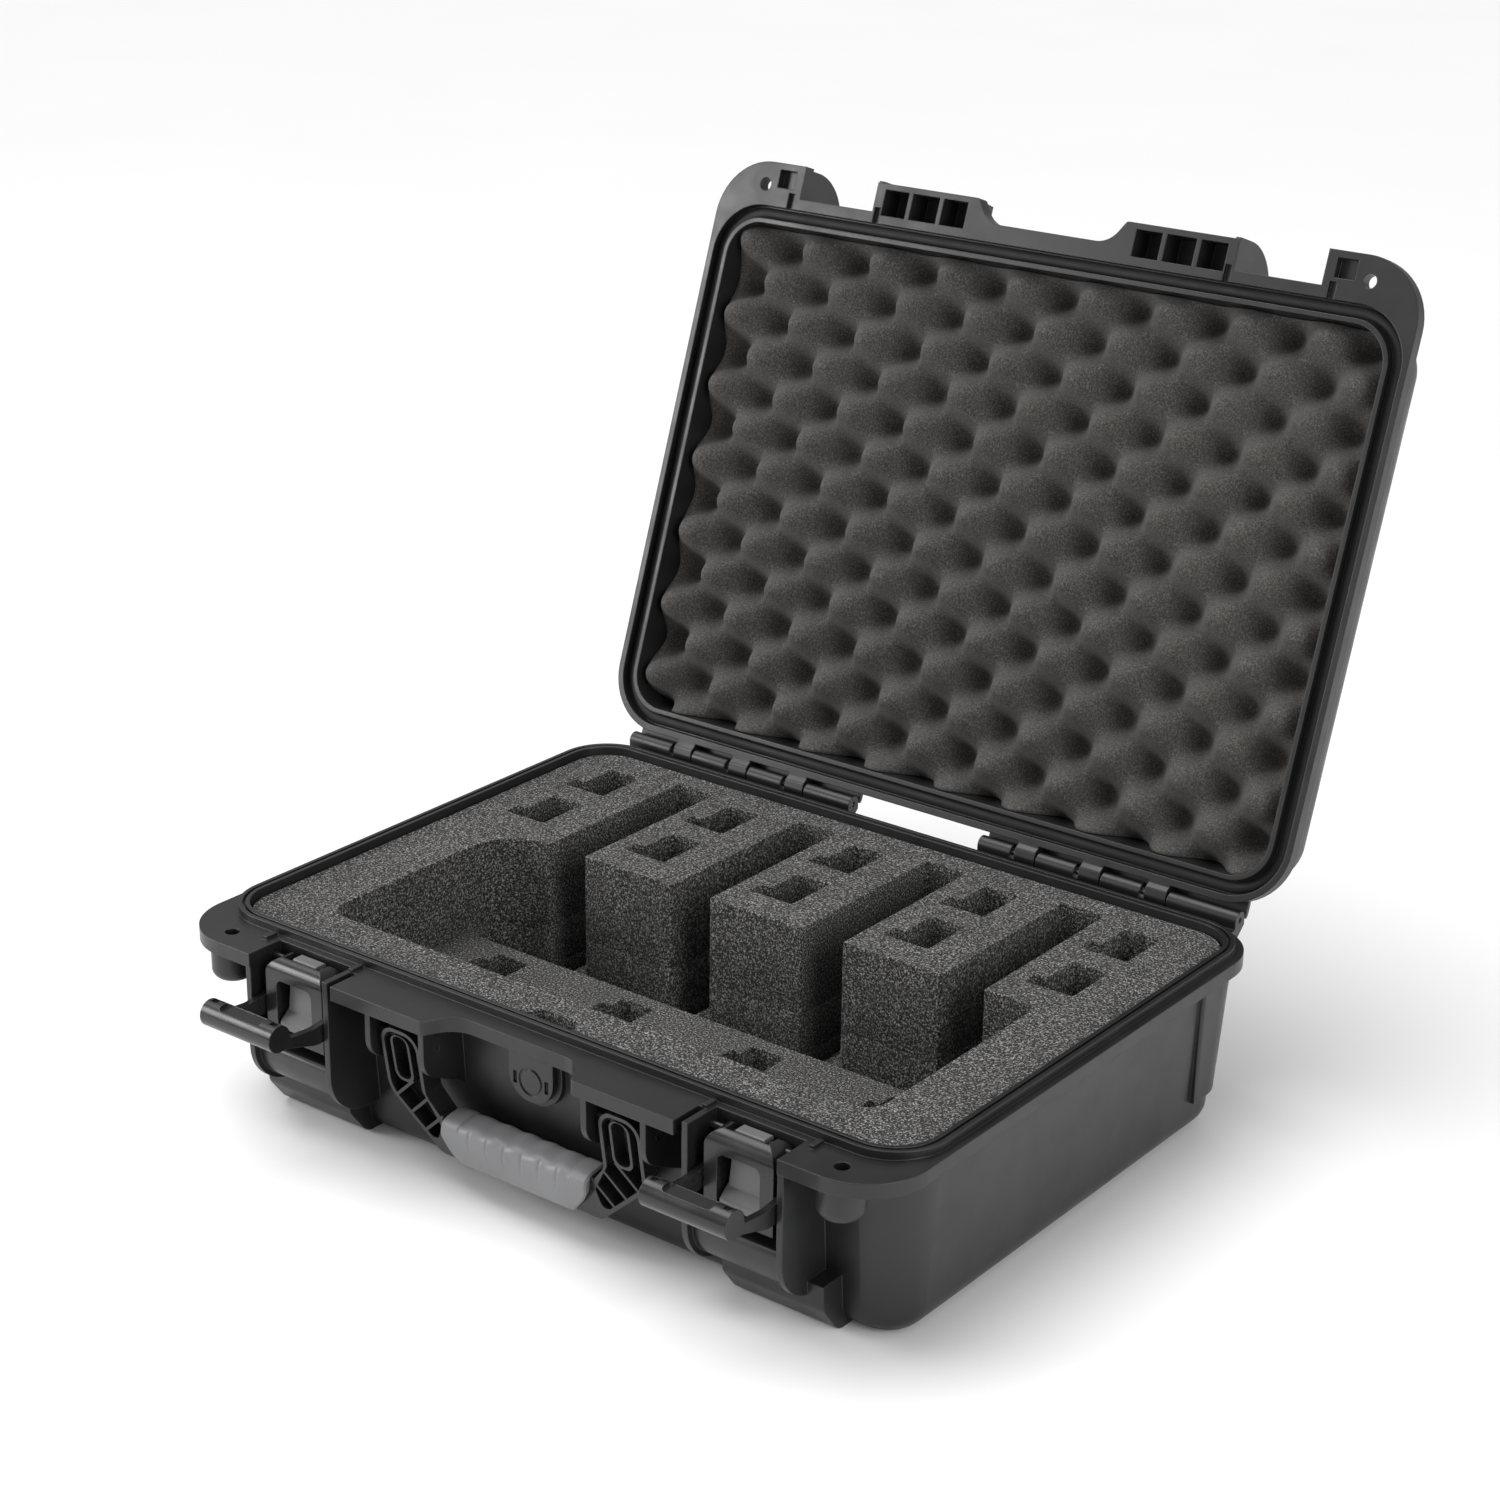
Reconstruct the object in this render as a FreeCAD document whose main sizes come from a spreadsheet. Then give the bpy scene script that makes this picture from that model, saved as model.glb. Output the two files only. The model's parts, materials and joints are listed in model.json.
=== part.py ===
import FreeCAD, Part
import Sketcher
import math
import os

# Hard equipment case with custom cut foam, lid standing open on its hinge.
# Frame: origin at the centre of the base on the floor, +X along the length,
# -Y towards the latches and handle, +Z up.  All sizes in millimetres.

V = FreeCAD.Vector
PARTS = "parts"
os.makedirs(PARTS, exist_ok=True)
doc = FreeCAD.newDocument("equipment_case")

DIMENSIONS = [
    # base shell
    ("base_height", 104), ("flange_depth", 8), ("half_length", 237), ("back_edge", 167.5),
    ("front_edge", 190), ("tab_edge", 191), ("waist_edge", 174), ("bay_edge", 167),
    ("flange_corner", 36), ("tub_length", 228.5), ("tub_width", 158.7), ("tub_corner", 28),
    ("draft", 4), ("bottom_round", 14), ("floor_depth", 4), ("edge_lift", 3),
    ("cavity_length", 226.1), ("cavity_width", 156.3), ("cavity_corner", 25),
    # sealing lip on the base, two ridges with a groove between them
    ("lip_rise", 4.5), ("lip_length", 232.3), ("lip_width", 162.5), ("lip_corner", 31),
    ("ridge", 2.3), ("lip_groove", 1.7), ("lip_groove_depth", 2.2),
    # latch bays and their side plates
    ("latch_x", 149.5), ("bay_half", 27), ("plate", 3.5), ("plate_front", 189.5),
    ("plate_foot", 22), ("plate_round", 26),
    ("axle_y", -171.5), ("axle_z", 97), ("claw_y", -178), ("claw_z", 76),
    ("pin_radius", 2), ("running_gap", 0.06), ("bar_reach", 42), ("bar_rise", 6),
    ("bar_radius", 7.5), ("bar_half", 25.8), ("arm_inner", 21.9), ("arm_outer", 25.8),
    ("lever_half", 21), ("lever_front", 184.5), ("lever_top", 102), ("lever_foot", 56),
    # handle
    ("tab_inner", 50), ("tab_outer", 115), ("rib_inner", 53), ("rib_outer", 91),
    ("handle_y", -177), ("handle_z", 82.5), ("handle_lean", 9), ("handle_thick", 12),
    ("arm_in", 60.5), ("arm_out", 87.5),
    # padlock ears
    ("ear_x", 204), ("ear_y", -176), ("ear_hole", 4), ("ear_boss", 12), ("ear_boss_depth", 18),
    # hinge
    ("hinge_y", 175.2), ("hinge_z", 107), ("knuckle", 5), ("hinge_pin", 1.5),
    ("hinge_start", 46), ("hinge_end", 215), ("knuckle_pitch", 43), ("lid_knuckle", 15.5),
    ("knuckle_gap", 1.1), ("pin_window", 2.2), ("first_right", 76.5), ("first_left", -174.5),
    ("open_angle", 109.3),
    # pressure valve
    ("valve_half", 15), ("valve_top", 95), ("valve_foot", 64), ("valve_face", 164.5),
    ("valve_bore", 8),
    # foam in the base
    ("foam_length", 224.9), ("foam_width", 155.1), ("foam_corner", 23.8), ("wall_lean", 0.07),
    ("shelf", 52), ("trench", 26), ("trench_front", -15), ("groove", 15), ("foam_floor", 10),
    ("well_half", 183.5), ("well_front", -124),
    ("finger_front", 21), ("finger_back", 139.5), ("finger_pitch", 91.5), ("slot_half", 13.5),
    ("pocket_left", -14), ("pocket_right", 8), ("pocket_length", 35), ("notch_left", -21),
    ("notch_length", 10.5), ("front_pocket", 43.5), ("back_pocket", 97), ("pocket_depth", 53),
    ("shelf_pocket", -60),
    # lid
    ("lid_seat", 104.3), ("lid_flange", 8), ("lid_top", 155), ("lid_round", 18),
    ("lid_cavity_length", 222.5), ("lid_cavity_width", 152.7), ("lid_roof", 151.5),
    ("seal_out", 0.9), ("seal_in", 0.9), ("seal_top", 110.5), ("gasket", 1.2),
    ("lid_bay_edge", 170), ("strip_top", 109.8), ("block_top", 128), ("lid_tab_edge", 187.5),
    ("lid_foam_face", 106),
]

sheet = doc.addObject("Spreadsheet::Sheet", "dims")
for row, (alias, size) in enumerate(DIMENSIONS, 1):
    sheet.set(f"A{row}", alias)
    sheet.set(f"B{row}", str(size))
    sheet.setAlias(f"B{row}", alias)
doc.recompute()


def dim(name):
    """A driving dimension as a number, for the few shapes made with Part's functions."""
    return float(sheet.get(name))


def value(expression):
    """What an expression over the sheet comes to."""
    result = sheet.evalExpression(expression)
    return float(getattr(result, "Value", result))


# ---------------------------------------------------------------- sketch and feature helpers

def new_body(label):
    body = doc.addObject("PartDesign::Body", label)
    body.Label = label
    return body


def new_sketch(body, plane, offset="0"):
    """Sketch on one of the body's own origin planes, moved along the plane's normal.
    XY normal is +Z, YZ normal is +X, XZ normal is -Y."""
    sketch = body.newObject("Sketcher::SketchObject", body.Name + "_sketch")
    origin = [item for item in body.Origin.OriginFeatures if item.Role == plane][0]
    sketch.AttachmentSupport = [(origin, "")]
    sketch.MapMode = "FlatFace"
    sketch.setExpression("AttachmentOffset.Base.z", offset)
    return sketch


def hold(geometry, point, x, y):
    """Bound distances that tie a sketch point to the origin."""
    return [(Sketcher.Constraint(kind, -1, 1, geometry, point, value(size)), size)
            for kind, size in (("DistanceX", x), ("DistanceY", y))]


def constrain(sketch, rules):
    """Adds (constraint, expression) pairs in one go and binds those with an expression."""
    first = sketch.ConstraintCount
    sketch.addConstraint([rule for rule, _ in rules])
    for index, (_, expression) in enumerate(rules, first):
        if expression:
            sketch.setExpression(f"Constraints[{index}]", expression)


def outline(sketch, corners):
    """Closed outline through corners (x, y, radius); every entry is an expression and a
    radius of None keeps the corner sharp."""
    count = len(corners)
    places = [V(value(x), value(y), 0) for x, y, _ in corners]
    ends = []
    for index, (_, _, radius) in enumerate(corners):
        here = places[index]
        back = (places[index - 1] - here).normalize()
        ahead = (places[(index + 1) % count] - here).normalize()
        reach = value(radius) / math.tan(back.getAngle(ahead) / 2) if radius else 0.0
        ends.append((here + back * reach, here + ahead * reach))
    lines = [
        sketch.addGeometry(Part.LineSegment(ends[index][1], ends[(index + 1) % count][0]))
        for index in range(count)
    ]
    rules = []
    for index, (x, y, radius) in enumerate(corners):
        before, after = lines[index - 1], lines[index]
        if not radius:
            rules.append((Sketcher.Constraint("Coincident", before, 2, after, 1), None))
            rules += hold(after, 1, x, y)
            continue
        rules += round_corner(sketch, places[index], ends[index], before, after, radius)
        apex = sketch.addGeometry(Part.Point(places[index]), True)
        rules.append((Sketcher.Constraint("PointOnObject", apex, 1, before), None))
        rules.append((Sketcher.Constraint("PointOnObject", apex, 1, after), None))
        rules += hold(apex, 1, x, y)
    constrain(sketch, rules)


def round_corner(sketch, corner, tips, before, after, radius):
    """Arc of a bound radius, tangent to the two lines that meet at a corner."""
    chord = (tips[0] + tips[1]) * 0.5
    half = (tips[1] - tips[0]).Length / 2
    size = value(radius)
    inward = (chord - corner).normalize()
    centre = chord + inward * math.sqrt(max(size * size - half * half, 0.0))
    middle = centre + (corner - centre).normalize() * size
    arc = sketch.addGeometry(Part.Arc(tips[0], middle, tips[1]))
    starts_first = sketch.getPoint(arc, 1).distanceToPoint(tips[0]) < 1e-6
    first, last = (1, 2) if starts_first else (2, 1)
    return [(Sketcher.Constraint("Tangent", before, 2, arc, first), None),
            (Sketcher.Constraint("Tangent", arc, last, after, 1), None),
            (Sketcher.Constraint("Radius", arc, size), radius)]


def rectangle(sketch, left, right, low, high, radius=None):
    outline(sketch, [(left, low, radius), (right, low, radius), (right, high, radius),
                     (left, high, radius)])


def frame_rectangle(sketch, half_x, half_y, radius):
    rectangle(sketch, f"-({half_x})", half_x, f"-({half_y})", half_y, radius)


def circle(sketch, x, y, radius):
    ring = sketch.addGeometry(Part.Circle(V(value(x), value(y), 0), V(0, 0, 1), value(radius)))
    rules = hold(ring, 3, x, y)
    rules.append((Sketcher.Constraint("Radius", ring, value(radius)), radius))
    constrain(sketch, rules)


def feature(body, kind, sketch, length, reverse, draft):
    item = body.newObject(f"PartDesign::{kind}", f"{body.Name}_{kind}")
    item.Profile = sketch
    item.Refine = False
    item.setExpression("Length", length)
    item.Reversed = reverse
    if draft:
        item.setExpression("TaperAngle", draft)
    before = 0.0 if body.Shape.isNull() else body.Shape.Volume
    doc.recompute([sketch, item, body])
    change = item.Shape.Volume - before
    if "Invalid" in item.State or (change <= 0) == (kind == "Pad"):
        raise RuntimeError(f"{item.Name} changed the volume by {change:.1f}")
    return item


def pad(body, sketch, length, reverse=False, draft=None):
    return feature(body, "Pad", sketch, length, reverse, draft)


def pocket(body, sketch, length, reverse=False, draft=None):
    return feature(body, "Pocket", sketch, length, reverse, draft)


def repeat_along_x(body, item, span, count):
    """Evenly spaced copies of a feature over a span along +X."""
    pattern = body.newObject("PartDesign::LinearPattern", f"{body.Name}_Pattern")
    pattern.Originals = [item]
    axis = [part for part in body.Origin.OriginFeatures if part.Role == "X_Axis"][0]
    pattern.Direction = (axis, [""])
    pattern.setExpression("Length", span)
    pattern.Occurrences = count
    pattern.Refine = False
    body.Tip = pattern
    doc.recompute([pattern, body])
    if "Invalid" in pattern.State or pattern.Shape.Volume >= item.Shape.Volume:
        raise RuntimeError(f"{pattern.Name} cut nothing")


def fillet(body, radius, wanted):
    """Rounds the edges of the body's last feature that a test picks out."""
    base = body.Tip
    names = [f"Edge{i}" for i, edge in enumerate(base.Shape.Edges, 1) if wanted(edge)]
    item = body.newObject("PartDesign::Fillet", f"{body.Name}_Fillet")
    item.Base = (base, names)
    item.setExpression("Radius", radius)
    doc.recompute()
    if "Invalid" in item.State or not item.Shape.isValid():
        raise RuntimeError(f"{item.Name} on {len(names)} edges failed")
    return item


def lies_at(axis, level, reach=0.01):
    """Test for edges that lie wholly at one level of an axis, 0, 1 or 2 for X, Y or Z."""
    def test(edge):
        box = edge.BoundBox
        low = (box.XMin, box.YMin, box.ZMin)[axis]
        high = (box.XMax, box.YMax, box.ZMax)[axis]
        return abs(low - level) < reach and abs(high - level) < reach
    return test


def bore(body, x_from, length, y, z, radius):
    """Round hole along +X, on the axis (y, z)."""
    sketch = new_sketch(body, "YZ_Plane", x_from)
    circle(sketch, y, z, radius)
    pocket(body, sketch, length, reverse=True)


def plate_along_x(body, x_from, thickness, corners):
    """Plate of a thickness along X with a profile given in Y and Z."""
    sketch = new_sketch(body, "YZ_Plane", x_from)
    outline(sketch, corners)
    pad(body, sketch, thickness)


def round_pin(label, x_from, length, y, z, radius):
    """Plain pin along X."""
    pin = doc.addObject("Part::Cylinder", label)
    pin.Label = label
    pin.setExpression("Radius", radius)
    pin.setExpression("Height", length)
    pin.Placement = FreeCAD.Placement(V(0, 0, 0), FreeCAD.Rotation(V(0, 1, 0), 90))
    for axis, place in (("x", x_from), ("y", y), ("z", z)):
        pin.setExpression(f"Placement.Base.{axis}", place)
    return pin


def in_one_node(label, pieces):
    """Identical fasteners kept as separate solids in one node."""
    group = doc.addObject("Part::Compound", label)
    group.Label = label
    group.Links = pieces
    return group


# ---------------------------------------------------------------- shared outlines

SIDES = (("right", "1"), ("left", "-1"))


def flange_outline(sketch, tab, bay, notched):
    """Flange with padlock ears, open latch bays, handle tabs and a narrower waist."""
    bay_in = "(dims.latch_x - dims.bay_half)"
    bay_out = "(dims.latch_x + dims.bay_half)"
    half = [("dims.tab_inner - 9", "-dims.waist_edge", "16"),
            ("dims.tab_inner", f"-{tab}", "2.5")]
    if notched:
        half += [("dims.tab_outer", f"-{tab}", None), ("dims.tab_outer", "-dims.plate_front + 18", None),
                 (f"{bay_in} - dims.plate", "-dims.plate_front + 18", None),
                 (f"{bay_in} - dims.plate", "-dims.plate_front", None),
                 (bay_in, "-dims.plate_front", None)]
    else:
        half += [(bay_in, f"-{tab}", None)]
    half += [(bay_in, f"-{bay}", None), (bay_out, f"-{bay}", None),
             (bay_out, "-dims.front_edge", None),
             ("dims.half_length", "-dims.front_edge", "dims.flange_corner"),
             ("dims.half_length", "dims.back_edge", "dims.flange_corner")]
    mirrored = [(f"-({x})", y, radius) for x, y, radius in reversed(half)]
    outline(sketch, half + mirrored)


def knuckle_centres():
    """Middles of the lid's knuckles, three in each hinge group."""
    return [f"(dims.first_{side} + {step} * dims.knuckle_pitch)"
            for side, _ in SIDES for step in range(3)]


def stepped_pocket(sketch, x, y):
    """Rectangular pocket with a smaller notch at its front left corner."""
    left = f"{x} + dims.pocket_left"
    outline(sketch, [
        (f"{x} + dims.notch_left", y, "1.5"), (f"{x} + dims.pocket_right", y, "1.5"),
        (f"{x} + dims.pocket_right", f"{y} + dims.pocket_length", "1.5"),
        (left, f"{y} + dims.pocket_length", "1.5"), (left, f"{y} + dims.notch_length", "1.5"),
        (f"{x} + dims.notch_left", f"{y} + dims.notch_length", "1.5"),
    ])


def comb_outline(sketch, front, back_round):
    """A well from a front edge to the fingers, with four slots running back between them."""
    corners = [("-dims.well_half", front, "12"), ("dims.well_half", front, "12"),
               ("dims.well_half", "dims.finger_front", "8")]
    for step in (1.5, 0.5, -0.5, -1.5):
        middle = f"{step} * dims.finger_pitch"
        corners += [(f"{middle} + dims.slot_half", "dims.finger_front", "1"),
                    (f"{middle} + dims.slot_half", "dims.finger_back", "3"),
                    (f"{middle} - dims.slot_half", "dims.finger_back", "3"),
                    (f"{middle} - dims.slot_half", "dims.finger_front", "1")]
    corners.append(("-dims.well_half", "dims.finger_front", back_round))
    outline(sketch, corners)


# ---------------------------------------------------------------- base

def make_base_shell():
    body = new_body("base_shell")
    underside = "dims.base_height - dims.flange_depth"
    sketch = new_sketch(body, "XY_Plane", underside)
    frame_rectangle(sketch, "dims.tub_length", "dims.tub_width", "dims.tub_corner")
    pad(body, sketch, underside, reverse=True, draft="-dims.draft")
    fillet(body, "dims.bottom_round", lies_at(2, 0))
    base_feet(body)
    sketch = new_sketch(body, "XY_Plane", underside)
    flange_outline(sketch, "dims.tab_edge", "dims.bay_edge", notched=True)
    pad(body, sketch, "dims.flange_depth")
    base_lip(body)
    latch_bays(body)
    handle_brackets(body)
    padlock_ears(body)
    valve_boss(body)
    base_hinge(body)
    locating_ribs(body)
    base_cavity(body)
    return body


def base_feet(body):
    """Rear corner pillars, skids under the latches, and side edges lifted between the feet."""
    rear = "dims.base_height - dims.flange_depth"
    for _, sign in SIDES:
        sketch = new_sketch(body, "XY_Plane", rear)
        near, far = f"{sign} * 200", f"{sign} * (dims.tub_length + 2.6)"
        outline(sketch, [(near, "112", None), (far, "112", "2"),
                         (far, "dims.tub_width + 1", "dims.tub_corner"),
                         (near, "dims.tub_width + 1", None)])
        pad(body, sketch, "dims.base_height - dims.flange_depth - 22", reverse=True,
            draft="-dims.draft")
        start = "dims.latch_x - 22" if sign == "1" else "-dims.latch_x - 40"
        plate_along_x(body, start, "62", [
            ("-120", "0", None), ("-156", "0", "9"), ("-168", "16", "8"),
            ("-169", "dims.plate_foot + 8", None), ("-120", "dims.plate_foot + 8", None)])
        sketch = new_sketch(body, "XY_Plane")
        rectangle(sketch, f"{sign} * 203", f"{sign} * 240", "-96", "86")
        pocket(body, sketch, "dims.edge_lift", reverse=True)


def base_lip(body):
    """Sealing lip that stands on the flange, with its groove."""
    sketch = new_sketch(body, "XY_Plane", "dims.base_height")
    frame_rectangle(sketch, "dims.lip_length", "dims.lip_width", "dims.lip_corner")
    pad(body, sketch, "dims.lip_rise")
    sketch = new_sketch(body, "XY_Plane", "dims.base_height + dims.lip_rise")
    for inset in ("dims.ridge", "(dims.ridge + dims.lip_groove)"):
        frame_rectangle(sketch, f"dims.lip_length - {inset}", f"dims.lip_width - {inset}",
                        f"dims.lip_corner - {inset}")
    pocket(body, sketch, "dims.lip_groove_depth")


def latch_bays(body):
    """Side plates with rounded feet, the fairing between them, and the axle holes."""
    for _, sign in SIDES:
        middle = f"{sign} * dims.latch_x"
        for start in (f"{middle} - dims.bay_half - dims.plate", f"{middle} + dims.bay_half"):
            plate_along_x(body, start, "dims.plate", [
                ("-152", "97", None), ("-dims.plate_front", "97", None),
                ("-dims.plate_front", "dims.plate_foot", "dims.plate_round"),
                ("-152", "dims.plate_foot", None)])
        plate_along_x(body, f"{middle} - dims.bay_half", "2 * dims.bay_half", [
            ("-152", "dims.plate_foot + 2", None),
            ("-dims.plate_front + 4", "dims.plate_foot + 2", "dims.plate_round - 3"),
            ("-dims.plate_front + 4", "50", "3"), ("-166", "53", "8"), ("-152", "53", None)])
        bore(body, f"{middle} - dims.bay_half - dims.plate - 1",
             "2 * (dims.bay_half + dims.plate + 1)", "dims.axle_y", "dims.axle_z",
             "dims.pin_radius + dims.running_gap")


def handle_brackets(body):
    """Two ribs under each handle tab, with the handle's pin through both."""
    for _, sign in SIDES:
        for place in ("dims.rib_inner", "dims.rib_outer"):
            start = f"{sign} * {place}" if sign == "1" else f"-{place} - dims.plate"
            plate_along_x(body, start, "dims.plate", [
                ("-150", "97", None), ("-187", "97", None),
                ("-187", "dims.handle_z - 12", "13"), ("-150", "dims.handle_z - 30", None)])
        start = "dims.rib_inner - 1" if sign == "1" else "-dims.rib_outer - dims.plate - 1"
        bore(body, start, "dims.rib_outer - dims.rib_inner + dims.plate + 2", "dims.handle_y",
             "dims.handle_z", "dims.pin_radius + dims.running_gap")


def padlock_ears(body):
    """Round bosses under the corner ears, and the padlock holes."""
    underside = "dims.base_height - dims.flange_depth"
    for _, sign in SIDES:
        sketch = new_sketch(body, "XY_Plane", underside)
        circle(sketch, f"{sign} * dims.ear_x", "dims.ear_y", "dims.ear_boss")
        pad(body, sketch, "dims.ear_boss_depth", reverse=True)
    fillet(body, "6", lies_at(2, value(f"{underside} - dims.ear_boss_depth")))
    sketch = new_sketch(body, "XY_Plane", "dims.base_height + 1")
    for _, sign in SIDES:
        circle(sketch, f"{sign} * dims.ear_x", "dims.ear_y", "dims.ear_hole")
    pocket(body, sketch, "dims.flange_depth + dims.ear_boss_depth + 2")


def shield(sketch, grow):
    """Flat-topped, round-bottomed outline of the valve."""
    width = f"(dims.valve_half + {grow})"
    low = f"dims.valve_foot - {grow}"
    outline(sketch, [(f"-{width}", low, f"{width} - 0.5"), (width, low, f"{width} - 0.5"),
                     (width, f"dims.valve_top - 3 + {grow}", None),
                     (f"-{width}", f"dims.valve_top - 3 + {grow}", None)])


def valve_boss(body):
    sketch = new_sketch(body, "XZ_Plane", "dims.valve_face - 3.6")
    shield(sketch, "3")
    pad(body, sketch, "8", reverse=True)


def base_hinge(body):
    """Knuckle bars on the back edge, cut into knuckles, with a bore for the pin."""
    for _, sign in SIDES:
        start = "dims.hinge_start" if sign == "1" else "-dims.hinge_end"
        span = "dims.hinge_end - dims.hinge_start"
        plate_along_x(body, start, span, [
            ("162", "dims.base_height - dims.flange_depth", None),
            ("172", "dims.base_height - dims.flange_depth", "3"),
            ("dims.hinge_y + dims.knuckle", "dims.hinge_z - 4", None),
            ("dims.hinge_y + dims.knuckle", "dims.hinge_z + dims.knuckle", "4.9"),
            ("dims.hinge_y - dims.knuckle", "dims.hinge_z + dims.knuckle", "4.9"),
            ("dims.hinge_y - dims.knuckle", "dims.base_height - 1", None),
            ("162", "dims.base_height - 1", None)])
    sketch = new_sketch(body, "XY_Plane", "120")
    half = "(dims.lid_knuckle / 2 + dims.knuckle_gap)"
    for middle in knuckle_centres():
        rectangle(sketch, f"{middle} - {half}", f"{middle} + {half}", "168.4", "190")
    pocket(body, sketch, "18.4")
    for _, sign in SIDES:
        start = "dims.hinge_start" if sign == "1" else "-dims.hinge_end"
        bore(body, f"{start} - 1", "dims.hinge_end - dims.hinge_start + 2", "dims.hinge_y",
             "dims.hinge_z", "dims.hinge_pin + dims.running_gap")


RIB_PLACES = [(f"{sign} * {place}", "-172") for _, sign in SIDES for place in ("118.9", "183")]


def locating_ribs(body):
    """Small ribs on the flange that find slots in the lid."""
    sketch = new_sketch(body, "XY_Plane", "dims.base_height - 1")
    for x, y in RIB_PLACES:
        rectangle(sketch, f"{x} - 1.5", f"{x} + 1.5", y, f"{y} + 8")
    pad(body, sketch, "3")


def base_cavity(body):
    sketch = new_sketch(body, "XY_Plane", "dims.base_height + dims.lip_rise")
    frame_rectangle(sketch, "dims.cavity_length", "dims.cavity_width", "dims.cavity_corner")
    pocket(body, sketch, "dims.base_height + dims.lip_rise - dims.floor_depth",
           draft="-dims.draft")
    sketch = new_sketch(body, "XZ_Plane", "dims.valve_face")
    circle(sketch, "0", "(dims.valve_top + dims.valve_foot) / 2", "dims.valve_bore + 0.2")
    pocket(body, sketch, "20")


# ---------------------------------------------------------------- foam in the base

def foam_block(label, low, high):
    """Block that follows the lean of the case's inner walls."""
    body = new_body(label)
    sketch = new_sketch(body, "XY_Plane", high)
    shrink = f"(dims.base_height - ({high})) * dims.wall_lean"
    frame_rectangle(sketch, f"dims.foam_length - {shrink}", f"dims.foam_width - {shrink}",
                    f"dims.foam_corner - {shrink}")
    pad(body, sketch, f"{high} - ({low})", reverse=True, draft="-dims.draft")
    return body


def make_foam_upper():
    """Main layer: well, fingers and slots, ten stepped pockets, notch behind the valve."""
    body = foam_block("foam_upper", "dims.shelf", "dims.base_height")
    sketch = new_sketch(body, "XY_Plane", "dims.base_height")
    comb_outline(sketch, "dims.well_front", "30")
    pocket(body, sketch, "dims.base_height - dims.shelf + 1")
    for y in ("dims.front_pocket", "dims.back_pocket"):
        sketch = new_sketch(body, "XY_Plane", "dims.base_height")
        stepped_pocket(sketch, "-2 * dims.finger_pitch", y)
        item = pocket(body, sketch, "dims.pocket_depth")
        repeat_along_x(body, item, "4 * dims.finger_pitch", 5)
    sketch = new_sketch(body, "XY_Plane", "dims.base_height")
    outline(sketch, [("-20", "-160", None), ("20", "-160", None), ("20", "-150", None),
                     ("12", "-141", "2"), ("-14", "-141", "2"), ("-20", "-150", None)])
    pocket(body, sketch, "42")
    return body


def shelf_pocket(sketch, x):
    """Pocket with a notch in the middle of its left side."""
    front = "dims.shelf_pocket"
    outline(sketch, [
        (f"{x} - 11", front, "1.5"), (f"{x} + 11", front, "1.5"),
        (f"{x} + 11", f"{front} + 35", "1.5"), (f"{x} - 11", f"{front} + 35", "1.5"),
        (f"{x} - 11", f"{front} + 25", "1"), (f"{x} - 17.5", f"{front} + 25", "1.5"),
        (f"{x} - 17.5", f"{front} + 14", "1.5"), (f"{x} - 11", f"{front} + 14", "1")])


def make_foam_lower():
    """Second layer, cut through: trench, slots and shelf pockets."""
    body = foam_block("foam_lower", "dims.trench", "dims.shelf - 0.1")
    sketch = new_sketch(body, "XY_Plane", "dims.shelf - 0.1")
    comb_outline(sketch, "dims.trench_front", "23")
    pocket(body, sketch, "dims.shelf - dims.trench + 1")
    sketch = new_sketch(body, "XY_Plane", "dims.shelf - 0.1")
    shelf_pocket(sketch, "-1.5 * dims.finger_pitch")
    item = pocket(body, sketch, "dims.shelf - dims.trench + 1")
    repeat_along_x(body, item, "3 * dims.finger_pitch", 4)
    return body


def make_foam_base():
    """Third layer: floor of trench, slots and pockets, with a groove in each slot."""
    body = foam_block("foam_base", "dims.foam_floor + 0.1", "dims.trench - 0.1")
    first = "-1.5 * dims.finger_pitch"
    sketch = new_sketch(body, "XY_Plane", "dims.trench - 0.1")
    rectangle(sketch, f"{first} - dims.slot_half", first, "dims.finger_front + 1",
              "dims.finger_back - 1", "1")
    item = pocket(body, sketch, "dims.trench - 0.1 - dims.groove")
    repeat_along_x(body, item, "3 * dims.finger_pitch", 4)
    return body


def make_foam_sheet():
    """Thin sheet on the bottom of the case."""
    return foam_block("foam_floor_sheet", "dims.floor_depth + 0.2", "dims.foam_floor - 0.1")


# ---------------------------------------------------------------- pressure valve

def make_valve():
    """Cap with its shield plate, the threaded body through the wall, and a seal ring."""
    middle = "(dims.valve_top + dims.valve_foot) / 2"
    cap = new_body("valve_cap")
    sketch = new_sketch(cap, "XZ_Plane", "dims.valve_face")
    shield(sketch, "0")
    pad(cap, sketch, "3.4", reverse=True)
    sketch = new_sketch(cap, "XZ_Plane", "dims.valve_face")
    for sign in ("-1", "1"):
        rectangle(sketch, f"{sign} * 10.6 - 1.2", f"{sign} * 10.6 + 1.2",
                  "dims.valve_foot + 8", "dims.valve_foot + 15")
    pocket(cap, sketch, "1.4")
    sketch = new_sketch(cap, "XZ_Plane", "dims.valve_face")
    for radius in ("8", "6.6"):
        circle(sketch, "0", "dims.valve_foot + 11.5", radius)
    pocket(cap, sketch, "0.7")
    tube = new_body("valve_body")
    sketch = new_sketch(tube, "XZ_Plane", "dims.valve_face - 3.5")
    circle(sketch, "0", middle, "dims.valve_bore")
    circle(sketch, "0", middle, "dims.valve_bore - 3")
    pad(tube, sketch, "14", reverse=True)
    seal = doc.addObject("Part::Torus", "valve_seal")
    seal.Label = "valve_seal"
    seal.setExpression("Radius1", "dims.valve_bore + 1.6")
    seal.Radius2 = 1.0
    seal.Placement = FreeCAD.Placement(V(0, -150, 0), FreeCAD.Rotation(V(1, 0, 0), 90))
    seal.setExpression("Placement.Base.z", middle)
    return [cap, tube, seal]


# ---------------------------------------------------------------- lid

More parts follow.
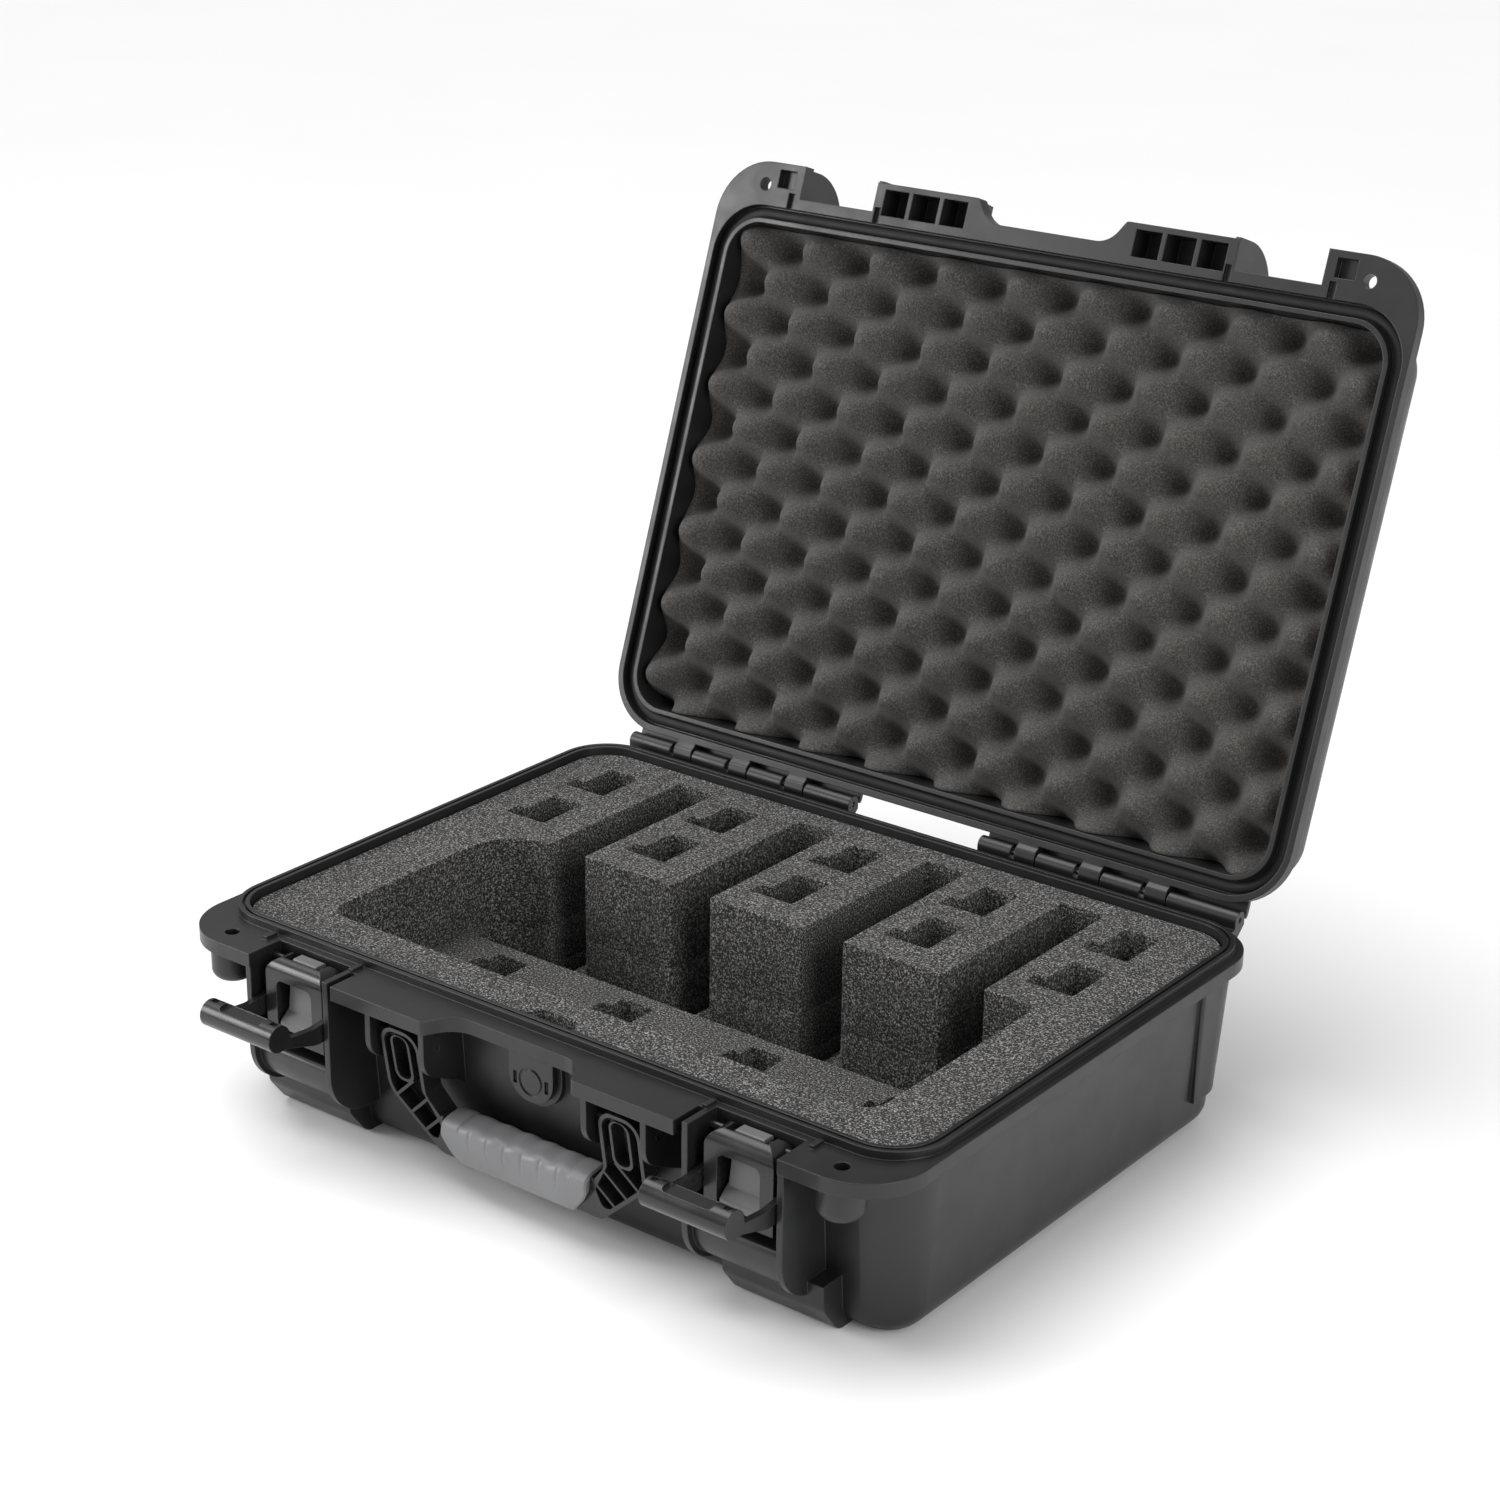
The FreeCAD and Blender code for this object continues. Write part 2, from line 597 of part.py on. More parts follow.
def make_lid_shell():
    """Lid as it lies when shut; its Placement swings it open."""
    body = new_body("lid_shell")
    sketch = new_sketch(body, "XY_Plane", "dims.lid_seat + dims.lid_flange")
    frame_rectangle(sketch, "dims.tub_length", "dims.tub_width", "dims.tub_corner")
    pad(body, sketch, "dims.lid_top - dims.lid_seat - dims.lid_flange", draft="-dims.draft")
    fillet(body, "dims.lid_round", lies_at(2, dim("lid_top")))
    sketch = new_sketch(body, "XY_Plane", "dims.lid_seat")
    flange_outline(sketch, "dims.lid_tab_edge", "dims.lid_bay_edge", notched=False)
    pad(body, sketch, "dims.lid_flange")
    lid_front(body)
    lid_hinge(body)
    lid_panel(body)
    lid_underside(body)
    return body


def lid_front(body):
    """Hollow catch blocks, plates beside the latch channels, and the strip the claw holds."""
    bay_in = "(dims.latch_x - dims.bay_half)"
    for _, sign in SIDES:
        sketch = new_sketch(body, "XY_Plane", "dims.lid_seat + 1")
        rectangle(sketch, f"{sign} * (dims.tab_inner + 3)", f"{sign} * {bay_in}",
                  "-dims.lid_tab_edge", "-150")
        pad(body, sketch, "dims.block_top - dims.lid_seat - 1", draft="-dims.draft")
        middle = f"{sign} * dims.latch_x"
        for start in (f"{middle} - dims.bay_half - dims.plate", f"{middle} + dims.bay_half"):
            plate_along_x(body, start, "dims.plate", [
                ("-150", "dims.lid_seat + 1", None), ("-188.5", "dims.lid_seat + 1", None),
                ("-188.5", "dims.lid_top - 2.5", "34"), ("-138", "dims.lid_top - 2.5", None)])
        sketch = new_sketch(body, "XY_Plane", "dims.strip_top")
        rectangle(sketch, f"{middle} - dims.bay_half", f"{middle} + dims.bay_half", "-175", "-163.6")
        pocket(body, sketch, "10", reverse=True)


def lid_hinge(body):
    """Three knuckles in each group on webs from the flange, under an eave."""
    for middle in knuckle_centres():
        plate_along_x(body, f"{middle} - dims.lid_knuckle / 2 + dims.pin_window",
                      "dims.lid_knuckle - dims.pin_window", [
            ("162", "dims.lid_seat", None), ("168.6", "dims.lid_seat", None),
            ("dims.hinge_y - 4", "dims.hinge_z - dims.knuckle", "2"),
            ("dims.hinge_y + dims.knuckle", "dims.hinge_z - dims.knuckle", "4.9"),
            ("dims.hinge_y + dims.knuckle", "dims.hinge_z + dims.knuckle", "4.9"),
            ("162", "dims.hinge_z + dims.knuckle", None)])
    eave = "dims.hinge_z + dims.knuckle + 0.7"
    for _, sign in SIDES:
        start = "dims.hinge_start" if sign == "1" else "-dims.hinge_end"
        plate_along_x(body, start, "dims.hinge_end - dims.hinge_start", [
            ("160", eave, None), ("dims.hinge_y - 1", eave, None),
            ("dims.hinge_y - 1", f"{eave} + 1.6", None), ("dims.hinge_y - 3", f"{eave} + 2.6", None),
            ("160", f"{eave} + 2.6", None)])
        bore(body, f"{start} + 1", "dims.hinge_end - dims.hinge_start - 2", "dims.hinge_y",
             "dims.hinge_z", "dims.hinge_pin + dims.running_gap")


def lid_panel(body):
    """Shallow panel on the outside, and a raised band each side of it."""
    sketch = new_sketch(body, "XY_Plane", "dims.lid_top")
    half = [("100", "-88", "30"), ("122", "-124", "14"), ("203", "-124", "24"),
            ("203", "114", "24"), ("168", "114", "12"), ("148", "88", "26")]
    outline(sketch, half + [(f"-({x})", y, radius) for x, y, radius in reversed(half)])
    pocket(body, sketch, "1.6")
    sketch = new_sketch(body, "XY_Plane", "dims.lid_top")
    rectangle(sketch, "-34", "34", "98", "116", "4")
    pocket(body, sketch, "1")


def lid_underside(body):
    """Cavity, seal channel, pockets in the blocks and ears, slots and padlock holes."""
    sketch = new_sketch(body, "XY_Plane", "dims.lid_seat")
    frame_rectangle(sketch, "dims.lid_cavity_length", "dims.lid_cavity_width",
                    "dims.cavity_corner - 3")
    pocket(body, sketch, "dims.lid_roof - dims.lid_seat", reverse=True, draft="-dims.draft")
    sketch = new_sketch(body, "XY_Plane", "dims.lid_seat")
    frame_rectangle(sketch, "dims.lip_length + dims.seal_out", "dims.lip_width + dims.seal_out",
                    "dims.lip_corner + dims.seal_out")
    frame_rectangle(sketch, "dims.cavity_length - dims.seal_in",
                    "dims.cavity_width - dims.seal_in", "dims.cavity_corner - dims.seal_in")
    pocket(body, sketch, "dims.seal_top - dims.lid_seat", reverse=True)
    sketch = new_sketch(body, "XY_Plane", "dims.lid_seat")
    for _, sign in SIDES:
        rectangle(sketch, f"{sign} * 182.5", f"{sign} * 195", "-dims.front_edge + 4", "-175")
    pocket(body, sketch, "5.5", reverse=True)
    sketch = new_sketch(body, "XY_Plane", "dims.lid_seat")
    for _, sign in SIDES:
        for low, high in (("57", "74"), ("77", "96"), ("99", "116")):
            rectangle(sketch, f"{sign} * {low}", f"{sign} * {high}", "-dims.lid_tab_edge + 3.5",
                      "-168.5")
    pocket(body, sketch, "17", reverse=True)
    sketch = new_sketch(body, "XY_Plane", "dims.lid_seat")
    for x, y in RIB_PLACES:
        rectangle(sketch, f"{x} - 2.2", f"{x} + 2.2", f"{y} - 0.8", f"{y} + 8.8")
    pocket(body, sketch, "2.6", reverse=True)
    sketch = new_sketch(body, "XY_Plane", "dims.lid_seat - 1")
    for _, sign in SIDES:
        circle(sketch, f"{sign} * dims.ear_x", "dims.ear_y", "dims.ear_hole")
    pocket(body, sketch, "dims.lid_flange + 2", reverse=True)


def make_lid_trim():
    """Gasket in the seal channel, foam pad in the roof, blank plate outside."""
    gasket = new_body("lid_gasket")
    sketch = new_sketch(gasket, "XY_Plane", "dims.seal_top - 0.05")
    frame_rectangle(sketch, "dims.lip_length + 0.6", "dims.lip_width + 0.6", "dims.lip_corner + 0.6")
    frame_rectangle(sketch, "dims.cavity_length - 0.6", "dims.cavity_width - 0.6",
                    "dims.cavity_corner - 0.6")
    pad(gasket, sketch, "dims.gasket", reverse=True)
    foam = new_body("lid_foam")
    sketch = new_sketch(foam, "XY_Plane", "dims.lid_roof - 0.2")
    frame_rectangle(sketch, "dims.lid_cavity_length - 4", "dims.lid_cavity_width - 4", "20")
    pad(foam, sketch, "dims.lid_roof - 0.2 - dims.lid_foam_face", reverse=True)
    plate = doc.addObject("Part::Box", "name_plate")
    plate.Label = "name_plate"
    plate.Length, plate.Width, plate.Height = 60, 13, 0.8
    plate.Placement.Base = V(-30, 100.5, 0)
    plate.setExpression("Placement.Base.z", "dims.lid_top - 1")
    return [gasket, foam, plate]


def swing_open(pieces):
    """Turns the shut lid's pieces about the hinge to the open rest position."""
    doc.recompute()
    pivot = V(0, dim("hinge_y"), dim("hinge_z"))
    turn = FreeCAD.Rotation(V(1, 0, 0), -dim("open_angle"))
    swing = FreeCAD.Placement(V(0, 0, 0), turn, pivot)
    for piece in pieces:
        own = FreeCAD.Placement(piece.Placement)
        piece.setExpression("Placement.Base.z", None)
        piece.Placement = swing.multiply(own)


# ---------------------------------------------------------------- handle

def make_handle():
    """Hollow frame with ladder ribs, and the rubber grip round its crossbar."""
    frame = new_body("handle_frame")
    front = "-dims.handle_y + dims.handle_thick / 2"
    sketch = new_sketch(frame, "XZ_Plane", front)
    half = [("50", "41", "3"), ("dims.arm_in", "54", "8"), ("dims.arm_in", "90", "10"),
            ("dims.arm_out", "90", "10"), ("dims.arm_out", "50", "16"), ("55", "20", "9")]
    mirrored = [(f"-({x})", z, radius) for x, z, radius in reversed(half)]
    outline(sketch, half + mirrored)
    pad(frame, sketch, "dims.handle_thick", reverse=True)
    hollow_arms(frame, front)
    for _, sign in SIDES:
        start = "dims.arm_in - 1" if sign == "1" else "-dims.arm_out - 1"
        bore(frame, start, "dims.arm_out - dims.arm_in + 2", "dims.handle_y", "dims.handle_z",
             "dims.pin_radius + dims.running_gap")
    grip = new_body("handle_grip")
    make_grip(grip)
    pivot = V(0, dim("handle_y"), dim("handle_z"))
    turn = FreeCAD.Rotation(V(1, 0, 0), dim("handle_lean"))
    for piece in (frame, grip):
        piece.Placement = FreeCAD.Placement(V(0, 0, 0), turn, pivot)
    return [frame, grip]


def hollow_arms(frame, front):
    """Recesses in the arms with looped and ladder ribs left standing."""
    inner, outer = "dims.arm_in + 2.2", "dims.arm_out - 2.2"
    for _, sign in SIDES:
        sketch = new_sketch(frame, "XZ_Plane", front)
        outline(sketch, [(f"{sign} * ({inner})", "56", "5"), (f"{sign} * ({inner})", "87.8", "8"),
                         (f"{sign} * ({outer})", "87.8", "8"), (f"{sign} * ({outer})", "51", "13"),
                         (f"{sign} * 57", "25", "4"), (f"{sign} * 52.5", "38", "2")])
        pocket(frame, sketch, "dims.handle_thick - 3")
        ladder_ribs(frame, front, sign)


def ladder_ribs(frame, front, sign):
    """A hanging loop beside the pivot and three slanting rungs below it."""
    recess = "dims.handle_thick - 2.5"
    sketch = new_sketch(frame, "XZ_Plane", front)
    for grow in ("0", "1.6"):
        rectangle(sketch, f"{sign} * (69 - {grow})", f"{sign} * (79 + {grow})",
                  f"60 - {grow}", f"86 + {grow} / 4", f"4.5 + {grow} / 2")
    pad(frame, sketch, recess, reverse=True)
    sketch = new_sketch(frame, "XZ_Plane", front)
    for step in range(3):
        x, z = f"{sign} * (82 - {step} * 9)", f"(48 - {step} * 8)"
        outline(sketch, [(f"{x}", f"{z} - 1.6", None), (f"{x} + {sign} * 1.2", f"{z} - 0.4", None),
                         (f"{x} - {sign} * 13", f"{z} + 13", None),
                         (f"{x} - {sign} * 14.2", f"{z} + 11.8", None)])
    pad(frame, sketch, recess, reverse=True)


def make_grip(grip):
    """Soft grip: a body round the crossbar with finger hollows along its upper side."""
    front = "-dims.handle_y + 11"
    sketch = new_sketch(grip, "XZ_Plane", front)
    outline(sketch, [("-37", "18", "4"), ("37", "18", "4"), ("50", "34", "6"), ("49", "45", "4"),
                     ("-49", "45", "4"), ("-50", "34", "6")])
    pad(grip, sketch, "22", reverse=True)
    for level in (value(f"-({front})"), value(f"-({front}) + 22")):
        fillet(grip, "6", lies_at(1, level))
    sketch = new_sketch(grip, "XZ_Plane", "-dims.handle_y + dims.handle_thick / 2 + 0.1")
    half = [("56", "41.2", None), ("56", "19.8", None)]
    outline(sketch, half + [(f"-({x})", z, None) for x, z, _ in reversed(half)])
    pocket(grip, sketch, "dims.handle_thick + 0.2")


# ---------------------------------------------------------------- latches

def make_latch(side, sign):
    """Lever on the bay's axle, claw and its pins on the lever, release piece and spring."""
    middle = f"({sign} * dims.latch_x)"
    return [
        make_lever(side, middle), make_claw(side, middle), make_release(side, middle),
        round_pin(f"latch_pin_{side}", f"{middle} - dims.bay_half - dims.plate",
                  "2 * (dims.bay_half + dims.plate)", "dims.axle_y", "dims.axle_z",
                  "dims.pin_radius"),
        in_one_node(f"claw_pins_{side}", [
            round_pin(f"claw_pin_{side}_{number}", f"{middle} + {start}", "9", "dims.claw_y",
                      "dims.claw_z", "dims.pin_radius")
            for number, start in ((1, "17.6"), (2, "-26.6"))]),
        make_spring(side, middle),
    ]


def make_lever(side, middle):
    """Arched lever with a window and side cheeks for the claw's pins."""
    body = new_body(f"latch_lever_{side}")
    plate_along_x(body, f"{middle} - dims.lever_half", "2 * dims.lever_half", [
        ("-dims.lever_front", "dims.lever_foot", "2"), ("-dims.lever_front", "dims.lever_top", "8"),
        ("-168.2", "dims.lever_top", "4"), ("-168", "93.6", "3"), ("-175", "92", "3"),
        ("-172.5", "82", "3"), ("-172.5", "69", "3"), ("-179", "66", None),
        ("-180", "dims.lever_foot", "1")])
    sketch = new_sketch(body, "XZ_Plane", "160")
    rectangle(sketch, f"{middle} - 30", f"{middle} + 30", "40", "112")
    rectangle(sketch, f"{middle} - dims.lever_half", f"{middle} + dims.lever_half",
              "dims.lever_foot - 8", "dims.lever_top", "9")
    pocket(body, sketch, "30", reverse=True)
    sketch = new_sketch(body, "XZ_Plane", "160")
    rectangle(sketch, f"{middle} - 13", f"{middle} + 13", "61", "91", "4")
    pocket(body, sketch, "30", reverse=True)
    sketch = new_sketch(body, "XY_Plane", "110")
    rectangle(sketch, f"{middle} - 13", f"{middle} + 13", "-178", "-160")
    pocket(body, sketch, "60")
    bore(body, f"{middle} - 24", "48", "dims.axle_y", "dims.axle_z",
         "dims.pin_radius + dims.running_gap")
    for start in ("17.4", "-21.4"):
        bore(body, f"{middle} + {start}", "4", "dims.claw_y", "dims.claw_z",
             "dims.pin_radius + dims.running_gap")
    return body


def make_claw(side, middle):
    """Bar on two curved arms, with a thumb recess and hooked notches on its upper side."""
    body = new_body(f"latch_claw_{side}")
    bar_y, bar_z = "(dims.claw_y - dims.bar_reach)", "(dims.claw_z + dims.bar_rise)"
    sketch = new_sketch(body, "YZ_Plane", f"{middle} - dims.bar_half")
    circle(sketch, bar_y, bar_z, "dims.bar_radius")
    pad(body, sketch, "2 * dims.bar_half")
    for start in (f"{middle} - dims.arm_outer", f"{middle} + dims.arm_inner"):
        plate_along_x(body, start, "dims.arm_outer - dims.arm_inner", [
            ("dims.claw_y + 4.8", "dims.claw_z + 4.6", "4.5"),
            ("dims.claw_y + 4.8", "dims.claw_z - 4.8", "4.6"),
            ("dims.claw_y - 15", "dims.claw_z - 8", "16"),
            (f"{bar_y} + 7", f"{bar_z} - dims.bar_radius - 0.4", "5"),
            (f"{bar_y} - 1", f"{bar_z} - dims.bar_radius + 0.6", None),
            (f"{bar_y} - 1", f"{bar_z} + 5", None), (f"{bar_y} + 3", f"{bar_z} + 4", None),
            (f"{bar_y} + 8.6", f"{bar_z} - 2.4", "2"),
            ("dims.claw_y - 18", "dims.claw_z + 2.2", "10")])
    sketch = new_sketch(body, "XY_Plane", f"{bar_z} + dims.bar_radius")
    rectangle(sketch, f"{middle} - 15", f"{middle} + 15", f"{bar_y} - 4.5", f"{bar_y} + 4.5", "2.5")
    pocket(body, sketch, "2")
    for start in ("-24", "19.5"):
        bore(body, f"{middle} + {start}", "4.5", f"{bar_y} + 1", f"{bar_z} + dims.bar_radius - 0.5",
             "2.2")
    bore(body, f"{middle} - 28", "56", "dims.claw_y", "dims.claw_z",
         "dims.pin_radius + dims.running_gap")
    return body


def make_release(side, middle):
    """Rocking release piece on the lever's axle: tab above, flared thumb pad in the window."""
    body = new_body(f"latch_release_{side}")
    plate_along_x(body, f"{middle} - 8.5", "17", [
        ("-175.6", "101.5", "1"), ("-168.4", "101.5", "1"), ("-168.2", "93.4", "3"),
        ("-174.6", "91", "2"), ("-175.6", "64", "1"), ("-178", "64", "1"), ("-178", "93", "2")])
    sketch = new_sketch(body, "XZ_Plane", "175.8")
    outline(sketch, [(f"{middle} - 11.5", "62.5", "2"), (f"{middle} + 11.5", "62.5", "2"),
                     (f"{middle} + 8.5", "89", "2"), (f"{middle} - 8.5", "89", "2")])
    pad(body, sketch, "2.6")
    plate_along_x(body, f"{middle} - 11.5", "23", [
        ("-177", "62.5", None), ("-184", "62.5", "1"), ("-184", "67", "1.5"), ("-177", "73", None)])
    bore(body, f"{middle} - 10", "20", "dims.axle_y", "dims.axle_z",
         "dims.pin_radius + dims.running_gap")
    return body


def make_spring(side, middle):
    """Torsion spring wound round the axle between the release piece and the lever."""
    pitch, turns, wire = 1.0, 3, 0.4
    coil = Part.makeHelix(pitch, pitch * turns, dim("pin_radius") + 1.0)
    profile = Part.Wire(Part.makeCircle(wire, V(dim("pin_radius") + 1.0, 0, 0), V(0, 1, 0)))
    spring = doc.addObject("Part::Feature", f"release_spring_{side}")
    spring.Label = f"release_spring_{side}"
    spring.Shape = Part.Wire(coil).makePipeShell([profile], True, True)
    place = V(value(f"{middle} + 9.2"), dim("axle_y"), dim("axle_z"))
    spring.Placement = FreeCAD.Placement(place, FreeCAD.Rotation(V(0, 1, 0), 90))
    return spring


# ---------------------------------------------------------------- assembly

def make_pins():
    """Hinge pins in the base knuckles and handle pins through the brackets."""
    pins = []
    for side, sign in SIDES:
        start = "dims.hinge_start" if sign == "1" else "-dims.hinge_end"
        pins.append(round_pin(f"hinge_pin_{side}", f"{start} + 1",
                              "dims.hinge_end - dims.hinge_start - 2", "dims.hinge_y",
                              "dims.hinge_z", "dims.hinge_pin"))
        start = "dims.rib_inner" if sign == "1" else "-dims.rib_outer - dims.plate"
        pins.append(round_pin(f"handle_pin_{side}", start,
                              "dims.rib_outer - dims.rib_inner + dims.plate", "dims.handle_y",
                              "dims.handle_z", "dims.pin_radius"))
    return pins


def main():
    parts = [make_base_shell(), make_foam_upper(), make_foam_lower(), make_foam_base(),
             make_foam_sheet()]
    parts += make_valve() + make_pins()
    lid = [make_lid_shell()] + make_lid_trim()
    swing_open(lid)
    parts += lid + make_handle()
    for side, sign in SIDES:
        parts += make_latch(side, sign)
    doc.recompute()
    failed = [item.Name for item in doc.Objects if {"Invalid", "Error"} & set(item.State)]
    failed += [item.Label for item in parts if item.Shape.isNull() or not item.Shape.isValid()]
    if failed:
        raise RuntimeError(f"failed: {failed}")
    for item in parts:
        item.Shape.exportStep(os.path.join(PARTS, f"{item.Label}.step"))
        box = item.Shape.BoundBox
        print(f"{item.Label}: {item.Shape.Volume / 1000:.1f} cm3, Z {box.ZMin:.1f} to {box.ZMax:.1f}")


main()
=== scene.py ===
import json
import math

import bmesh
import bpy
from mathutils import Euler, Matrix, Vector, noise


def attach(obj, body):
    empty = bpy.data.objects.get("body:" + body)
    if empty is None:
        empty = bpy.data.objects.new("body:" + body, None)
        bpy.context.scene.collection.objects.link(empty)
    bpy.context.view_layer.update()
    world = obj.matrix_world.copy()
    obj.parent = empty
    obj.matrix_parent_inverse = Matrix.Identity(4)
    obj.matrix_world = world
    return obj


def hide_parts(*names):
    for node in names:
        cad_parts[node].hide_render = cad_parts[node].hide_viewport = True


# Open equipment case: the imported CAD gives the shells, latches and pins; this script
# adds the foam, the grip, the lid's seal, the finishes, the stage and the camera.
# Shapes are drawn in millimetres in the frame's axes and scaled by MM on the way out. The
# lid's pieces are drawn with the lid shut and swung open with it.

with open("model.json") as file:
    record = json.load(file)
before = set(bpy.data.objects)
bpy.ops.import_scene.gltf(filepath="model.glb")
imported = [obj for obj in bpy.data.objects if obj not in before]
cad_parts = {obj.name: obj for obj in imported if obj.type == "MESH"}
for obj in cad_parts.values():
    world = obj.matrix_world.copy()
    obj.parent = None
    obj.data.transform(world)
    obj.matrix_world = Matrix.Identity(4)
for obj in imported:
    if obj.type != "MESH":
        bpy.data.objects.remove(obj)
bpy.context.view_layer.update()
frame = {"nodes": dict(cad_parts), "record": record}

# Without a seed, noise_vector starts from the clock and the foam differs from run to run.
noise.seed_set(11)

MM = 0.001

# Lines the lid and the handle turn about, and how far each is turned at rest.
HINGE_Y, HINGE_Z = 175.2, 107.0
LID_OPEN = math.radians(109.3)
HANDLE_Y, HANDLE_Z = -177.0, 82.5
HANDLE_LEAN = math.radians(9)

# Heights of the base foam's levels, and its half sizes and corner at the top.
FOAM_TOP, SHELF, TRENCH, GROOVE, FOAM_FLOOR, SHELL_FLOOR = 104, 52, 26, 15, 10, 4.2
FOAM_X, FOAM_Y, FOAM_CORNER = 224.9, 155.1, 23.8
LAYER_GAP = 0.1
# How far the tub's and the lid's inner walls draw in per millimetre away from their rims.
WALL_LEAN = 0.07

# Well, slots between the fingers, and pockets.
PITCH = 91.5
SLOT_STEPS = (-1.5, -0.5, 0.5, 1.5)
FINGER_STEPS = range(-2, 3)
SLOT_HALF, SLOT_END, GROOVE_END = 13.5, 139.5, 138.5
WELL_HALF, WELL_FRONT, TRENCH_FRONT, FINGER_FRONT = 183.5, -124, -15, 21
POCKET_ROWS = (43.5, 97)
NOTCH_HALF, NOTCH_INNER, NOTCH_BACK = 19, 12, -141


# ------------------------------------------------------------------ placing and meshes

def swing():
    """Shut lid to open lid, in metres."""
    pivot = Matrix.Translation((0, HINGE_Y * MM, HINGE_Z * MM))
    return pivot @ Matrix.Rotation(-LID_OPEN, 4, "X") @ pivot.inverted()


def lean():
    """Handle drawn hanging straight to its resting lean, in metres."""
    pivot = Matrix.Translation((0, HANDLE_Y * MM, HANDLE_Z * MM))
    return pivot @ Matrix.Rotation(HANDLE_LEAN, 4, "X") @ pivot.inverted()


def new_object(name, data):
    """Object in the scene's own collection."""
    piece = bpy.data.objects.new(name, data)
    bpy.context.scene.collection.objects.link(piece)
    return piece


def mesh_object(name, points, faces):
    """Smooth-shaded object from points in millimetres."""
    mesh = bpy.data.meshes.new(name)
    mesh.from_pydata([Vector(p) * MM for p in points], [], faces)
    mesh.update()
    for polygon in mesh.polygons:
        polygon.use_smooth = True
    return new_object(name, mesh)


def rounded(corners, steps=6):
    """Closed outline through (x, y, radius) corners, with arcs where radius isn't 0."""
    count = len(corners)
    points = []
    for index, (x, y, radius) in enumerate(corners):
        here = Vector((x, y))
        if not radius:
            points.append(here)
            continue
        back = (Vector(corners[index - 1][:2]) - here).normalized()
        ahead = (Vector(corners[(index + 1) % count][:2]) - here).normalized()
        half = back.angle(ahead) / 2
        reach = radius / math.tan(half)
        middle = here + (back + ahead).normalized() * (radius / math.sin(half))
        first, last = here + back * reach - middle, here + ahead * reach - middle
        turn = math.atan2(first.x * last.y - first.y * last.x, first.dot(last))
        for step in range(steps + 1):
            angle = turn * step / steps
            cos, sin = math.cos(angle), math.sin(angle)
            points.append(middle + Vector((first.x * cos - first.y * sin,
                                           first.x * sin + first.y * cos)))
    return points


def box_corners(left, right, low, high, radius):
    """Corners of a rounded box for rounded()."""
    return [(left, low, radius), (right, low, radius),
            (right, high, radius), (left, high, radius)]


WAVE_STEP, WAVE_SCALE = 6.0, 0.11


def wavy(points, seed, size=0.18):
    """Outline cut a little unevenly, as foam is."""
    fine = []
    for index, point in enumerate(points):
        after = points[(index + 1) % len(points)]
        parts = max(1, round((after - point).length / WAVE_STEP))
        fine += [point.lerp(after, part / parts) for part in range(parts)]
    moved = []
    for point in fine:
        shift = noise.noise_vector(Vector((point.x * WAVE_SCALE, point.y * WAVE_SCALE, seed)))
        moved.append(point + Vector((shift.x, shift.y)) * size)
    return moved


def plate(outlines, low, high, bevel):
    """Mesh of a flat plate with holes and softened edges, heights in millimetres."""
    curve = bpy.data.curves.new("plate", "CURVE")
    curve.dimensions = "2D"
    curve.fill_mode = "BOTH"
    curve.extrude = ((high - low) / 2 - bevel) * MM
    curve.bevel_depth = bevel * MM
    curve.bevel_resolution = 2
    curve.offset = -bevel * MM
    for outline in outlines:
        spline = curve.splines.new("POLY")
        spline.points.add(len(outline) - 1)
        spline.use_cyclic_u = True
        for place, point in zip(spline.points, outline):
            place.co = (point.x * MM, point.y * MM, 0, 1)
    holder = new_object("plate_holder", curve)
    bpy.context.view_layer.update()
    graph = bpy.context.evaluated_depsgraph_get()
    mesh = bpy.data.meshes.new_from_object(holder.evaluated_get(graph))
    bpy.data.objects.remove(holder)
    mesh.transform(Matrix.Translation((0, 0, (low + high) / 2 * MM)))
    return mesh


def join(name, meshes):
    """One object from several meshes."""
    shape = bmesh.new()
    for mesh in meshes:
        shape.from_mesh(mesh)
    bmesh.ops.remove_doubles(shape, verts=shape.verts, dist=1e-6)
    joined = bpy.data.meshes.new(name)
    shape.to_mesh(joined)
    shape.free()
    return new_object(name, joined)


def depth_inside(x, y, half_x, half_y, corner):
    """How far a point lies inside a rounded rectangle (negative outside)."""
    dx, dy = abs(x) - (half_x - corner), abs(y) - (half_y - corner)
    outside = math.hypot(max(dx, 0), max(dy, 0)) + min(max(dx, dy), 0)
    return corner - outside


SIDE_BAND = 2.5


def follow_walls(mesh):
    """Draws the outer sides of foam in below its top, as the case's inner walls lean."""
    for vertex in mesh.vertices:
        x, y, z = vertex.co / MM
        if depth_inside(x, y, FOAM_X, FOAM_Y, FOAM_CORNER) > SIDE_BAND:
            continue
        shift = (FOAM_TOP - z) * WALL_LEAN
        dx = max(abs(x) - (FOAM_X - FOAM_CORNER), 0)
        dy = max(abs(y) - (FOAM_Y - FOAM_CORNER), 0)
        length = math.hypot(dx, dy) or 1
        vertex.co.x -= math.copysign(dx / length * shift, x) * MM
        vertex.co.y -= math.copysign(dy / length * shift, y) * MM


# ------------------------------------------------------------------ foam in the base

def foam_outline(seed, notched=False):
    """Outer edge of a foam layer, with the notch behind the valve where it is asked for."""
    corners = box_corners(-FOAM_X, FOAM_X, -FOAM_Y, FOAM_Y, FOAM_CORNER)
    if notched:
        corners[1:1] = [(-NOTCH_HALF, -FOAM_Y, 1), (-NOTCH_INNER, NOTCH_BACK, 2),
                        (NOTCH_INNER, NOTCH_BACK, 2), (NOTCH_HALF, -FOAM_Y, 1)]
    return wavy(rounded(corners, 10), seed)


